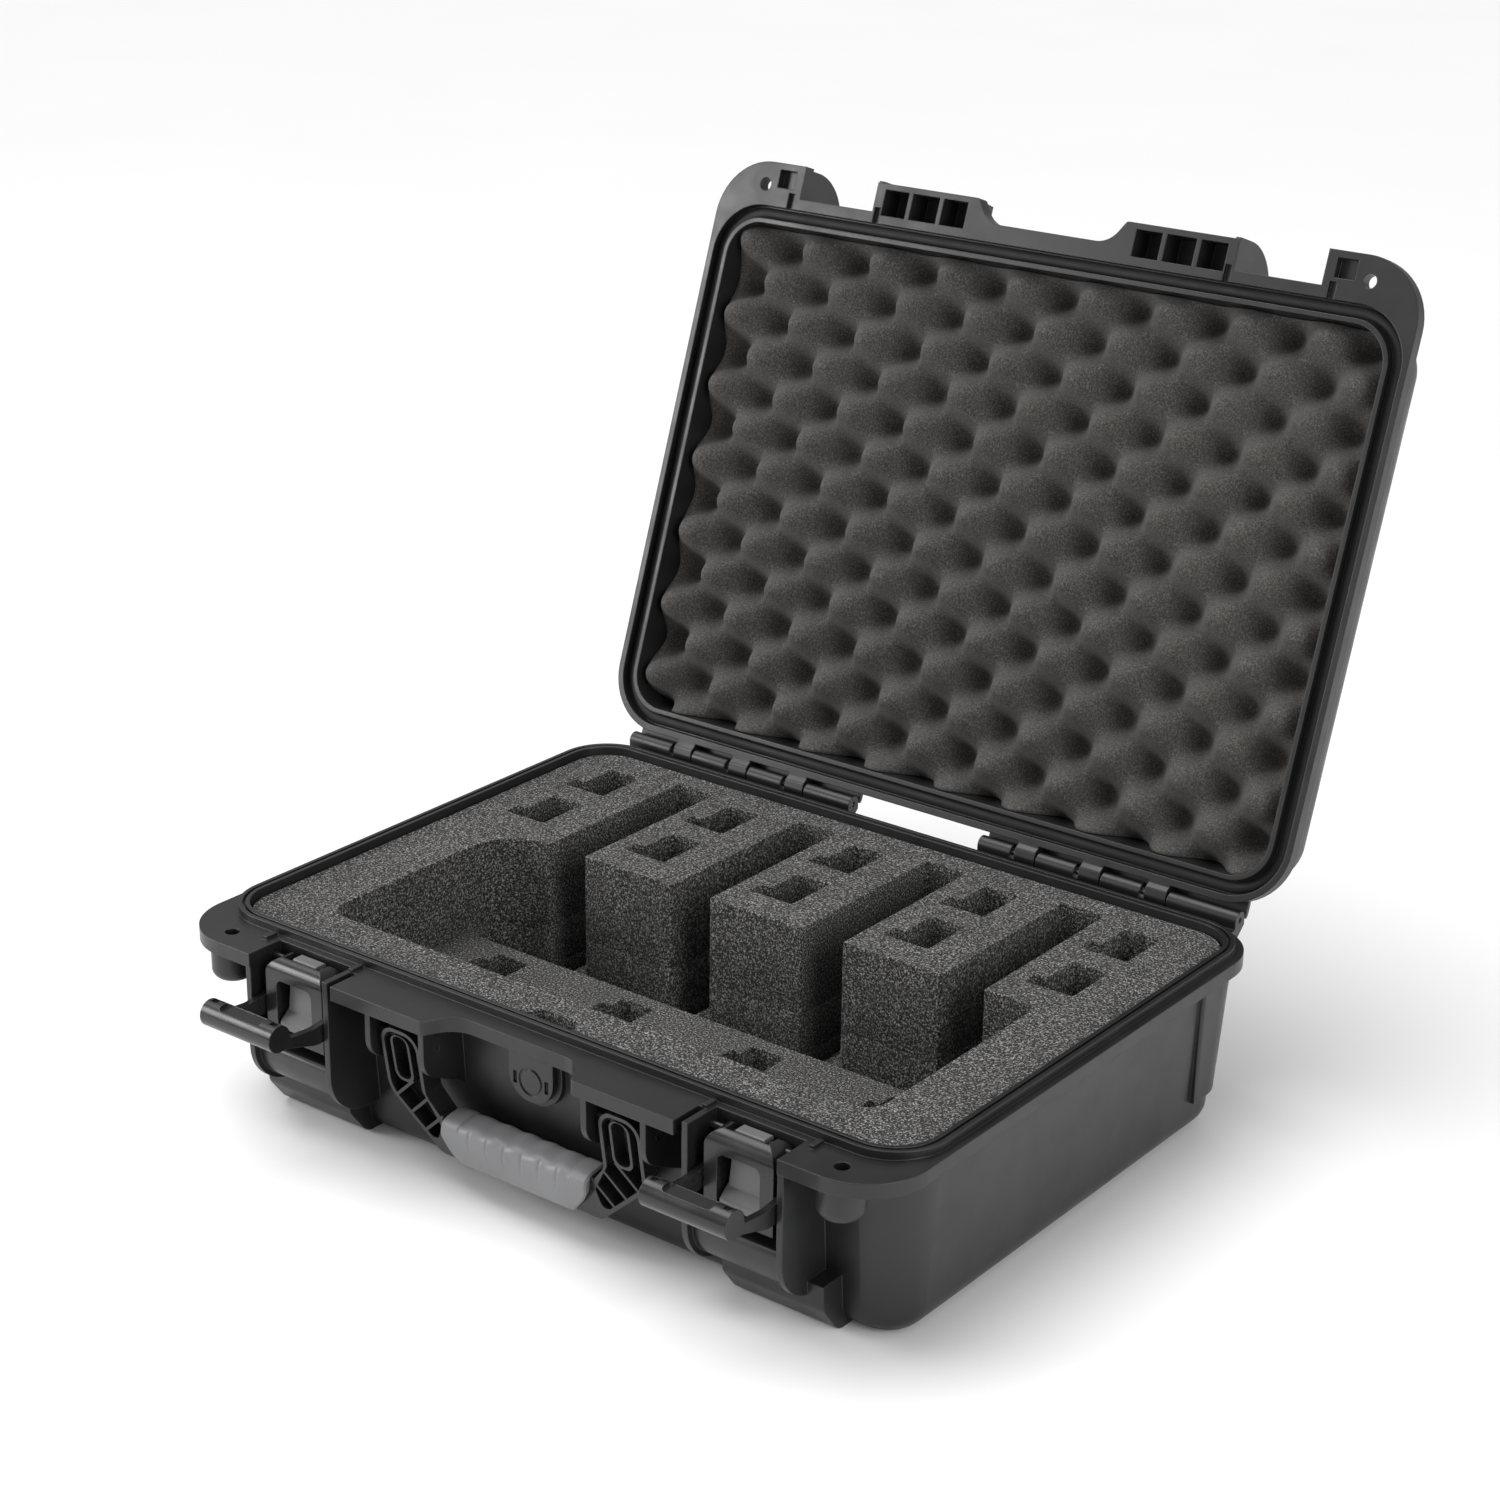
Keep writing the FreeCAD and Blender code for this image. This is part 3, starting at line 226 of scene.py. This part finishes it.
def comb(front, back_round):
    """Well from a front edge to the fingers, with four slots running back."""
    corners = [(-WELL_HALF, front, 12), (WELL_HALF, front, 12), (WELL_HALF, FINGER_FRONT, 8)]
    for step in reversed(SLOT_STEPS):
        right, left = step * PITCH + SLOT_HALF, step * PITCH - SLOT_HALF
        corners += [(right, FINGER_FRONT, 1), (right, SLOT_END, 3),
                    (left, SLOT_END, 3), (left, FINGER_FRONT, 1)]
    corners.append((-WELL_HALF, FINGER_FRONT, back_round))
    return rounded(corners)


def stepped(x, front):
    """Small pocket with a notch at its front left corner."""
    left, right, inner = x - 21, x + 8, x - 14
    notch, back, radius = front + 10.5, front + 35, 1.5
    return rounded([(left, front, radius), (right, front, radius), (right, back, radius),
                    (inner, back, radius), (inner, notch, radius), (left, notch, radius)], 3)


def shelf_pocket(x):
    """Pocket in the well's floor, with a notch in the middle of its left side."""
    left, right, outer = x - 11, x + 11, x - 17.5
    front, notch_front, notch_back, back = -60, -46, -35, -25
    return rounded([(left, front, 1.5), (right, front, 1.5), (right, back, 1.5),
                    (left, back, 1.5), (left, notch_back, 1), (outer, notch_back, 1.5),
                    (outer, notch_front, 1.5), (left, notch_front, 1)], 3)


def slot_groove(step):
    """Deeper left half of a slot's floor."""
    middle = step * PITCH
    return rounded(box_corners(middle - SLOT_HALF, middle, FINGER_FRONT + 1, GROOVE_END, 1), 3)


def build_base_foam():
    """Four stacked layers: fingers and well, trench and slots, grooves, floor sheet."""
    pockets = [wavy(stepped(step * PITCH, front), seed=5, size=0.25)
               for step in FINGER_STEPS for front in POCKET_ROWS]
    well = wavy(comb(WELL_FRONT, back_round=30), seed=3)
    upper = join("foam_upper_cut", [
        plate([foam_outline(seed=1, notched=True), well] + pockets,
              SHELF, FOAM_TOP, bevel=0.6)])
    floor_holes = [wavy(shelf_pocket(step * PITCH), seed=8, size=0.25) for step in SLOT_STEPS]
    trench = wavy(comb(TRENCH_FRONT, back_round=23), seed=3)
    lower = join("foam_lower_cut", [
        plate([foam_outline(seed=2), trench] + floor_holes,
              TRENCH, SHELF - LAYER_GAP, bevel=0.5)])
    grooves = [wavy(slot_groove(step), seed=9) for step in SLOT_STEPS]
    third = join("foam_base_cut", [
        plate([foam_outline(seed=2)] + grooves, GROOVE, TRENCH - LAYER_GAP, bevel=0.4),
        plate([foam_outline(seed=2)], FOAM_FLOOR + LAYER_GAP, GROOVE + LAYER_GAP, bevel=0.2)])
    sheet = join("foam_sheet_cut", [
        plate([foam_outline(seed=6)], SHELL_FLOOR, FOAM_FLOOR - LAYER_GAP, bevel=0.4)])
    layers = ((upper, "foam_upper"), (lower, "foam_lower"), (third, "foam_base"),
              (sheet, "foam_floor_sheet"))
    for piece, node in layers:
        follow_walls(piece.data)
        finish_soft(piece, node, "base", MATERIALS["foam"])


def finish_soft(piece, node, body, material):
    """Gives a soft piece its finish and lets it stand for its CAD node."""
    piece.data.materials.clear()
    piece.data.materials.append(material)
    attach(piece, body)
    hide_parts(node)


# ------------------------------------------------------------------ egg-crate foam in the lid

# Half sizes and corner at the peaks, then heights with the lid shut: the tips that face
# the base, the pits between them and the back that lies against the lid.
LID_FOAM_X, LID_FOAM_Y, LID_FOAM_CORNER = 222.0, 152.2, 19.5
CRATE_PEAK, CRATE_VALLEY, CRATE_ROOF = 105.2, 134.0, 151.2
CRATE_STEP_X, CRATE_STEP_Y = 24.65, 22.9
CRATE_START_X, CRATE_START_Y = 14.6, 142
PIT_POWER = 1.12
CRATE_COLUMNS, CRATE_ROWS = 232, 160
CRATE_SIDE_LEVELS = (0.02, 0.35, 0.7, 1.0)
SIDE_SWELL = 1.001


def build_lid_foam():
    """Block with a waved face; its sides follow the lid's lean."""
    columns, rows = CRATE_COLUMNS, CRATE_ROWS
    points, faces = [], []
    for row in range(rows + 1):
        for column in range(columns + 1):
            x, y = spread(column / columns, row / rows)
            points.append(lid_lean(x, y, crate_height(x, y)))
    width = columns + 1
    for row in range(rows):
        for column in range(columns):
            first = row * width + column
            faces.append((first, first + width, first + width + 1, first + 1))
    edge = (list(range(columns))
            + [row * width + columns for row in range(rows)]
            + [rows * width + column for column in range(columns, 0, -1)]
            + [row * width for row in range(rows, 0, -1)])
    rim = edge
    for level in CRATE_SIDE_LEVELS:
        grow = 1.0 if level == 1.0 else SIDE_SWELL
        ring = []
        for index in edge:
            x, y, z = points[index]
            ring.append(len(points))
            height = z + (CRATE_ROOF - z) * level
            points.append(lid_lean(x * grow, y * grow, height, z))
        for index in range(len(edge)):
            after = (index + 1) % len(edge)
            faces.append((rim[index], rim[after], ring[after], ring[index]))
        rim = ring
    faces.append(tuple(rim))
    crate = mesh_object("lid_foam_crate", points, faces)
    crate.data.transform(swing())
    finish_soft(crate, "lid_foam", "lid", MATERIALS["lid_foam"])


def lid_lean(x, y, z, start=CRATE_PEAK):
    """Draws a point of the lid foam in as it rises from the given height."""
    shift = (z - start) * WALL_LEAN
    return x * (1 - shift / LID_FOAM_X), y * (1 - shift / LID_FOAM_Y), z


def spread(u, v):
    """Point of the lid foam's rounded rectangle for grid place (u, v) from 0 to 1."""
    x, y = (2 * u - 1) * LID_FOAM_X, (2 * v - 1) * LID_FOAM_Y
    straight_x, straight_y = LID_FOAM_X - LID_FOAM_CORNER, LID_FOAM_Y - LID_FOAM_CORNER
    dx, dy = abs(x) - straight_x, abs(y) - straight_y
    if dx > 0 and dy > 0:
        shrink = max(dx, dy) / math.hypot(dx, dy)
        x = math.copysign(straight_x + dx * shrink, x)
        y = math.copysign(straight_y + dy * shrink, y)
    return x, y


def crate_height(x, y):
    """Height of the staggered rounded peaks; lower values stand out towards the base."""
    shift = noise.noise_vector(Vector((x * 0.02, y * 0.02, 2.0))) * 1.8
    across = math.cos(math.pi * (x + CRATE_START_X + shift.x) / CRATE_STEP_X)
    along = math.cos(math.pi * (y + CRATE_START_Y + shift.y) / CRATE_STEP_Y)
    swell = 1 + 0.06 * noise.noise(Vector((x * 0.03, y * 0.03, 5.0)))
    fine = noise.noise(Vector((x * 0.35, y * 0.35, 7.0))) * 0.2
    rise = ((1 - across * along) / 2) ** PIT_POWER
    lowest = CRATE_PEAK - 0.6
    return max(CRATE_PEAK + (CRATE_VALLEY - CRATE_PEAK) * rise * swell + fine, lowest)


# ------------------------------------------------------------------ seal and grip

SEAL_X, SEAL_Y, SEAL_CORNER = 229.3, 159.3, 28
# Offset from the middle line and height with the lid shut, round the section.
SEAL_SECTION = ((-3.2, 110.4), (-3.2, 109.6), (-1.4, 109.35), (-0.6, 109.0),
                (0.6, 109.0), (1.4, 109.35), (3.2, 109.6), (3.2, 110.4))


def build_gasket():
    """Soft seal with a raised middle bead, in the lid's channel."""
    points, faces, count = [], [], 0
    for offset, z in SEAL_SECTION:
        half_x, half_y = SEAL_X + offset, SEAL_Y + offset
        ring = rounded(box_corners(-half_x, half_x, -half_y, half_y, SEAL_CORNER + offset), 12)
        count = len(ring)
        points += [(p.x, p.y, z) for p in ring]
    for level in range(len(SEAL_SECTION)):
        after = (level + 1) % len(SEAL_SECTION)
        for index in range(count):
            follow = (index + 1) % count
            faces.append((level * count + index, level * count + follow,
                          after * count + follow, after * count + index))
    seal = mesh_object("lid_seal_bead", points, faces)
    seal.data.transform(swing())
    seal.data.materials.append(MATERIALS["seal"])
    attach(seal, "lid")
    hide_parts("lid_gasket")


# Half depth and half height of the grip's section, height of its middle, and half length
# at the bottom, with what the flare adds towards the top.
GRIP_DEPTH, GRIP_RISE, GRIP_MIDDLE = 10.6, 13.2, 31.6
GRIP_HALF, GRIP_FLARE, FLARE_START, FLARE_HEIGHT = 36.5, 13, 18.5, 16
SECTION_POWER = 0.55
GROOVES, GROOVE_DEPTH, GROOVE_WIDTH = (-30, -18, -6, 6, 18, 30), 0.55, 0.7
SCALLOP_DEPTH, SCALLOP_LENGTH, SCALLOP_END = 0.9, 15.0, 38
GRIP_ALONG, GRIP_AROUND = 200, 56


def grip_point(u, v):
    """Point of the grip: u runs along it from -1 to 1, v round it from 0 to 1."""
    angle = 2 * math.pi * v
    cos, sin = math.cos(angle), math.sin(angle)
    depth = math.copysign(abs(cos) ** SECTION_POWER, cos) * GRIP_DEPTH
    rise = math.copysign(abs(sin) ** SECTION_POWER, sin) * GRIP_RISE
    flare = min(max((GRIP_MIDDLE + rise - FLARE_START) / FLARE_HEIGHT, 0), 1) ** 0.9
    x = u * (GRIP_HALF + GRIP_FLARE * flare)
    if abs(u) > 0.985:
        depth *= 0.93
        rise *= 0.94
    top = max(rise, 0) / GRIP_RISE
    scallop = 0
    if abs(x) < SCALLOP_END:
        swing_in = 0.5 - 0.5 * math.cos(2 * math.pi * x / SCALLOP_LENGTH)
        scallop = SCALLOP_DEPTH * top * swing_in
    groove = 0.0
    if top > 0.25:
        for place in GROOVES:
            groove += (GROOVE_DEPTH * math.exp(-((x - place) / GROOVE_WIDTH) ** 2)
                       * min(1, top * 2))
    y = HANDLE_Y - depth + math.copysign(groove, depth)
    return x, y, GRIP_MIDDLE + rise - scallop


def build_grip():
    """Soft grip with finger scallops and fine grooves, closed at both ends."""
    along, around = GRIP_ALONG, GRIP_AROUND
    points, faces = [], []
    for step in range(along + 1):
        u = 2 * step / along - 1
        for turn in range(around):
            points.append(grip_point(u, turn / around))
    for step in range(along):
        for turn in range(around):
            after = (turn + 1) % around
            first, second = step * around, (step + 1) * around
            faces.append((first + turn, first + after, second + after, second + turn))
    for base, sign in ((0, -1), (along * around, 1)):
        ring = list(range(base, base + around))
        faces.append(tuple(ring if sign > 0 else reversed(ring)))
    grip = mesh_object("handle_grip_soft", points, faces)
    bevel = grip.modifiers.new("edges", "BEVEL")
    bevel.width = 1.2 * MM
    bevel.segments = 3
    bevel.angle_limit = math.radians(50)
    grip.data.transform(lean())
    grip.data.materials.append(MATERIALS["grip"])
    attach(grip, "handle")
    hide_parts("handle_grip")


# ------------------------------------------------------------------ finishes

def node_tree(name):
    """New material with its nodes, links, main shader and texture coordinates."""
    material = bpy.data.materials.new(name)
    material.use_nodes = True
    nodes, links = material.node_tree.nodes, material.node_tree.links
    shader = nodes["Principled BSDF"]
    coords = nodes.new("ShaderNodeTexCoord")
    return material, nodes, links, shader, coords


def speckle(nodes, links, coords, scale, detail, roughness=0.55):
    """Noise fixed to the object."""
    texture = nodes.new("ShaderNodeTexNoise")
    texture.inputs["Scale"].default_value = scale
    texture.inputs["Detail"].default_value = detail
    texture.inputs["Roughness"].default_value = roughness
    links.new(coords.outputs["Object"], texture.inputs["Vector"])
    return texture.outputs["Fac"]


def ramp(nodes, links, source, stops):
    """Colours at (position, colour) stops of a value."""
    element = nodes.new("ShaderNodeValToRGB")
    links.new(source, element.inputs["Fac"])
    colours = element.color_ramp.elements
    while len(colours) < len(stops):
        colours.new(0.5)
    for place, (position, colour) in zip(colours, stops):
        place.position = position
        place.color = (*colour, 1)
    return element.outputs["Color"]


def bump(nodes, links, height, strength, distance, normal=None):
    """Normal bent by a height, on top of another normal where one is given."""
    element = nodes.new("ShaderNodeBump")
    element.inputs["Strength"].default_value = strength
    element.inputs["Distance"].default_value = distance
    links.new(height, element.inputs["Height"])
    if normal is not None:
        links.new(normal, element.inputs["Normal"])
    return element.outputs["Normal"]


def edge_mask(nodes, links, radius):
    """Rounded normal, and a value that is 1 on flat faces and falls on edges."""
    bevel = nodes.new("ShaderNodeBevel")
    bevel.samples = 6
    bevel.inputs["Radius"].default_value = radius
    geometry = nodes.new("ShaderNodeNewGeometry")
    dot = nodes.new("ShaderNodeVectorMath")
    dot.operation = "DOT_PRODUCT"
    links.new(bevel.outputs["Normal"], dot.inputs[0])
    links.new(geometry.outputs["Normal"], dot.inputs[1])
    return bevel.outputs["Normal"], dot.outputs["Value"]


def mix(nodes, links, factor, first, second):
    """Blend of two colours by a value."""
    element = nodes.new("ShaderNodeMix")
    element.data_type = "RGBA"
    links.new(factor, element.inputs["Factor"])
    links.new(first, element.inputs[6])
    links.new(second, element.inputs[7])
    return element.outputs[2]


def grey(value):
    """Neutral colour."""
    return (value,) * 3


def resin(name, dark, light, edge_highlight, rough, grain, grain_depth, edge=0.0009):
    """Moulded resin: fine mould grain, cloudy sheen, and sharp edges painted lighter as a painted
    highlight, mottled like scuffs.
    """
    material, nodes, links, shader, coords = node_tree(name)
    normal, turn = edge_mask(nodes, links, edge)
    clouds = speckle(nodes, links, coords, scale=22, detail=5)
    body = ramp(nodes, links, clouds, [(0.32, dark), (0.68, light)])
    # Sharp edges get a lighter colour, a painted highlight mottled by noise, blended in by the edge
    # mask below.
    edge_mottle = speckle(nodes, links, coords, scale=160, detail=4)
    edge_highlight_colour = ramp(nodes, links, edge_mottle, [(0.3, light), (0.7, edge_highlight)])
    edges = ramp(nodes, links, turn, [(0.90, grey(0.8)), (0.995, grey(0))])
    links.new(mix(nodes, links, edges, body, edge_highlight_colour), shader.inputs["Base Color"])
    smears = speckle(nodes, links, coords, scale=45, detail=6)
    gloss = ramp(nodes, links, smears, [(0.3, grey(rough - 0.06)), (0.7, grey(rough + 0.07))])
    links.new(gloss, shader.inputs["Roughness"])
    mould = speckle(nodes, links, coords, scale=grain, detail=3, roughness=0.6)
    links.new(bump(nodes, links, mould, 0.35, grain_depth, normal), shader.inputs["Normal"])
    shader.inputs["Specular IOR Level"].default_value = 0.5
    return material


def foam(name, dark, middle, light, grain, depth, sheen):
    """Speckled foam: cut cells that catch the light as flecks, over soft cloudy tone."""
    material, nodes, links, shader, coords = node_tree(name)
    cells = nodes.new("ShaderNodeTexVoronoi")
    cells.inputs["Scale"].default_value = grain
    links.new(coords.outputs["Object"], cells.inputs["Vector"])
    grains = speckle(nodes, links, coords, scale=grain * 0.62, detail=3, roughness=0.75)
    flecks = ramp(nodes, links, grains, [(0.42, dark), (0.52, middle), (0.66, light)])
    pits = ramp(nodes, links, cells.outputs["Distance"], [(0.15, middle), (0.75, dark)])
    tone = speckle(nodes, links, coords, scale=35, detail=5)
    clouds = ramp(nodes, links, tone, [(0.3, grey(0.62)), (0.7, grey(0.9))])
    links.new(mix(nodes, links, clouds, pits, flecks), shader.inputs["Base Color"])
    rough = ramp(nodes, links, cells.outputs["Distance"], [(0.1, grey(0.8)), (0.7, grey(0.98))])
    links.new(rough, shader.inputs["Roughness"])
    coarse = bump(nodes, links, grains, 0.7, depth)
    links.new(bump(nodes, links, cells.outputs["Distance"], 0.5, depth, coarse),
              shader.inputs["Normal"])
    shader.inputs["Specular IOR Level"].default_value = 0.25
    shader.inputs["Sheen Weight"].default_value = sheen
    shader.inputs["Sheen Roughness"].default_value = 0.6
    return material


def steel(name, dark, light):
    """Ground metal with fine rings along its length."""
    material, nodes, links, shader, coords = node_tree(name)
    wave = nodes.new("ShaderNodeTexWave")
    wave.inputs["Scale"].default_value = 900
    wave.inputs["Distortion"].default_value = 3
    links.new(coords.outputs["Object"], wave.inputs["Vector"])
    spots = speckle(nodes, links, coords, scale=500, detail=5)
    links.new(ramp(nodes, links, spots, [(0.3, dark), (0.7, light)]),
              shader.inputs["Base Color"])
    rough = ramp(nodes, links, wave.outputs["Fac"], [(0, grey(0.22)), (1, grey(0.36))])
    links.new(rough, shader.inputs["Roughness"])
    links.new(bump(nodes, links, wave.outputs["Fac"], 0.15, 0.0001), shader.inputs["Normal"])
    shader.inputs["Metallic"].default_value = 1.0
    return material


# Each resin's third colour is painted on its sharp edges as a painted highlight.
MATERIALS = {
    "shell": resin("shell_resin", dark=(0.0096, 0.0096, 0.0099), light=(0.0126, 0.0126, 0.013),
                   edge_highlight=(0.03, 0.03, 0.031), rough=0.36, grain=2300, grain_depth=0.00008),
    "hardware": resin("hardware_resin", dark=(0.009, 0.009, 0.0093),
                      light=(0.0145, 0.0145, 0.015), edge_highlight=(0.04, 0.04, 0.041), rough=0.27,
                      grain=3200, grain_depth=0.00004, edge=0.0006),
    "release": resin("release_resin", dark=(0.1, 0.101, 0.102), light=(0.14, 0.141, 0.142),
                     edge_highlight=(0.24, 0.24, 0.24), rough=0.34, grain=3000, grain_depth=0.00005,
                     edge=0.0005),
    "seal": resin("seal_rubber", dark=(0.009, 0.009, 0.0095), light=(0.016, 0.016, 0.017),
                  edge_highlight=(0.03, 0.03, 0.031), rough=0.62, grain=2600, grain_depth=0.00008,
                  edge=0.0004),
    "grip": resin("grip_rubber", dark=(0.15, 0.151, 0.155), light=(0.2, 0.201, 0.206),
                  edge_highlight=(0.26, 0.26, 0.265), rough=0.42, grain=2600, grain_depth=0.00006,
                  edge=0.0006),
    "foam": foam("cut_foam", dark=(0.006, 0.0058, 0.0058), middle=(0.052, 0.051, 0.05),
                 light=(0.5, 0.49, 0.475), grain=1400, depth=0.0006, sheen=0.04),
    "lid_foam": foam("crate_foam", dark=(0.036, 0.033, 0.031), middle=(0.07, 0.065, 0.06),
                     light=(0.15, 0.14, 0.13), grain=1500, depth=0.0003, sheen=0.1),
    "steel": steel("pin_steel", dark=(0.42, 0.43, 0.44), light=(0.62, 0.63, 0.64)),
    "spring": steel("spring_steel", dark=(0.03, 0.03, 0.032), light=(0.07, 0.07, 0.073)),
}


def dress_cad():
    """Finishes on the carried-over CAD nodes."""
    for entry in frame["record"]["subparts"]:
        node = frame["nodes"][entry["node"]]
        material = MATERIALS[entry["material_slot"]]
        node.data.materials.clear()
        node.data.materials.append(material)


# ------------------------------------------------------------------ stage, light, camera

FLOOR_HALF = 9000


def build_stage():
    """Wide pale paper floor."""
    corners = [(x * FLOOR_HALF, y * FLOOR_HALF, 0) for x, y in ((-1, -1), (1, -1), (1, 1), (-1, 1))]
    floor = mesh_object("stage_floor", corners, [(0, 1, 2, 3)])
    material, nodes, links, shader, coords = node_tree("stage_paper")
    paper = ramp(nodes, links, speckle(nodes, links, coords, scale=3, detail=2),
                 [(0, grey(0.9)), (1, grey(0.93))])
    links.new(paper, shader.inputs["Base Color"])
    shader.inputs["Roughness"].default_value = 0.7
    floor.data.materials.append(material)


def area_light(name, place, target, size, power):
    """White soft box at a place, turned to a target, in metres and watts."""
    light = bpy.data.lights.new(name, "AREA")
    light.shape = "RECTANGLE"
    light.size, light.size_y = size
    light.energy = power
    holder = new_object(name, light)
    holder.location = place
    holder.rotation_euler = (Vector(target) - Vector(place)).to_track_quat("-Z", "Y").to_euler()


ROOM_LIGHT, BACKDROP = 0.42, 0.95
SUN_POWER, SUN_ANGLE, SUN_FROM = 2.1, 50, (-0.3, 0.0, 1)


def build_room():
    """Pale surroundings, shown brighter than they light, so the floor has no dark horizon."""
    world = bpy.data.worlds.new("studio")
    bpy.context.scene.world = world
    world.use_nodes = True
    nodes, links = world.node_tree.nodes, world.node_tree.links
    room = nodes["Background"]
    backdrop = nodes.new("ShaderNodeBackground")
    for shader, strength in ((room, ROOM_LIGHT), (backdrop, BACKDROP)):
        shader.inputs["Color"].default_value = (1.0, 1.0, 1.0, 1)
        shader.inputs["Strength"].default_value = strength
    path = nodes.new("ShaderNodeLightPath")
    blend = nodes.new("ShaderNodeMixShader")
    links.new(path.outputs["Is Camera Ray"], blend.inputs["Fac"])
    links.new(room.outputs["Background"], blend.inputs[1])
    links.new(backdrop.outputs["Background"], blend.inputs[2])
    links.new(blend.outputs["Shader"], nodes["World Output"].inputs["Surface"])


def build_lights():
    """A wide soft light from above and two soft boxes."""
    soft = bpy.data.lights.new("soft_overhead", "SUN")
    soft.energy = SUN_POWER
    soft.angle = math.radians(SUN_ANGLE)
    holder = new_object("soft_overhead", soft)
    holder.rotation_euler = Vector(SUN_FROM).to_track_quat("Z", "Y").to_euler()
    area_light("right_box", (2.0, -0.5, 0.9), (0, 0, 0.1), size=(1.0, 1.6), power=22)
    area_light("left_box", (-1.7, -1.3, 0.9), (0, 0, 0.25), size=(0.7, 1.0), power=24)


CAMERA_PLACE = (0.9323, -1.1927, 0.8035)
CAMERA_TURN = (68.486, -0.582, 37.903)
CAMERA_LENS, CAMERA_SENSOR, CAMERA_REACH = 73.5, 36, 50


def build_camera():
    """Camera of the reference angle, an ordinary short telephoto, and plain tones."""
    camera = bpy.data.cameras.new("camera")
    camera.lens = CAMERA_LENS
    camera.sensor_width = CAMERA_SENSOR
    camera.clip_end = CAMERA_REACH
    holder = new_object("camera", camera)
    holder.location = CAMERA_PLACE
    holder.rotation_euler = Euler([math.radians(angle) for angle in CAMERA_TURN])
    bpy.context.scene.camera = holder
    bpy.context.scene.view_settings.view_transform = "Standard"


dress_cad()
build_base_foam()
build_lid_foam()
build_gasket()
build_grip()
build_stage()
build_room()
build_lights()
build_camera()
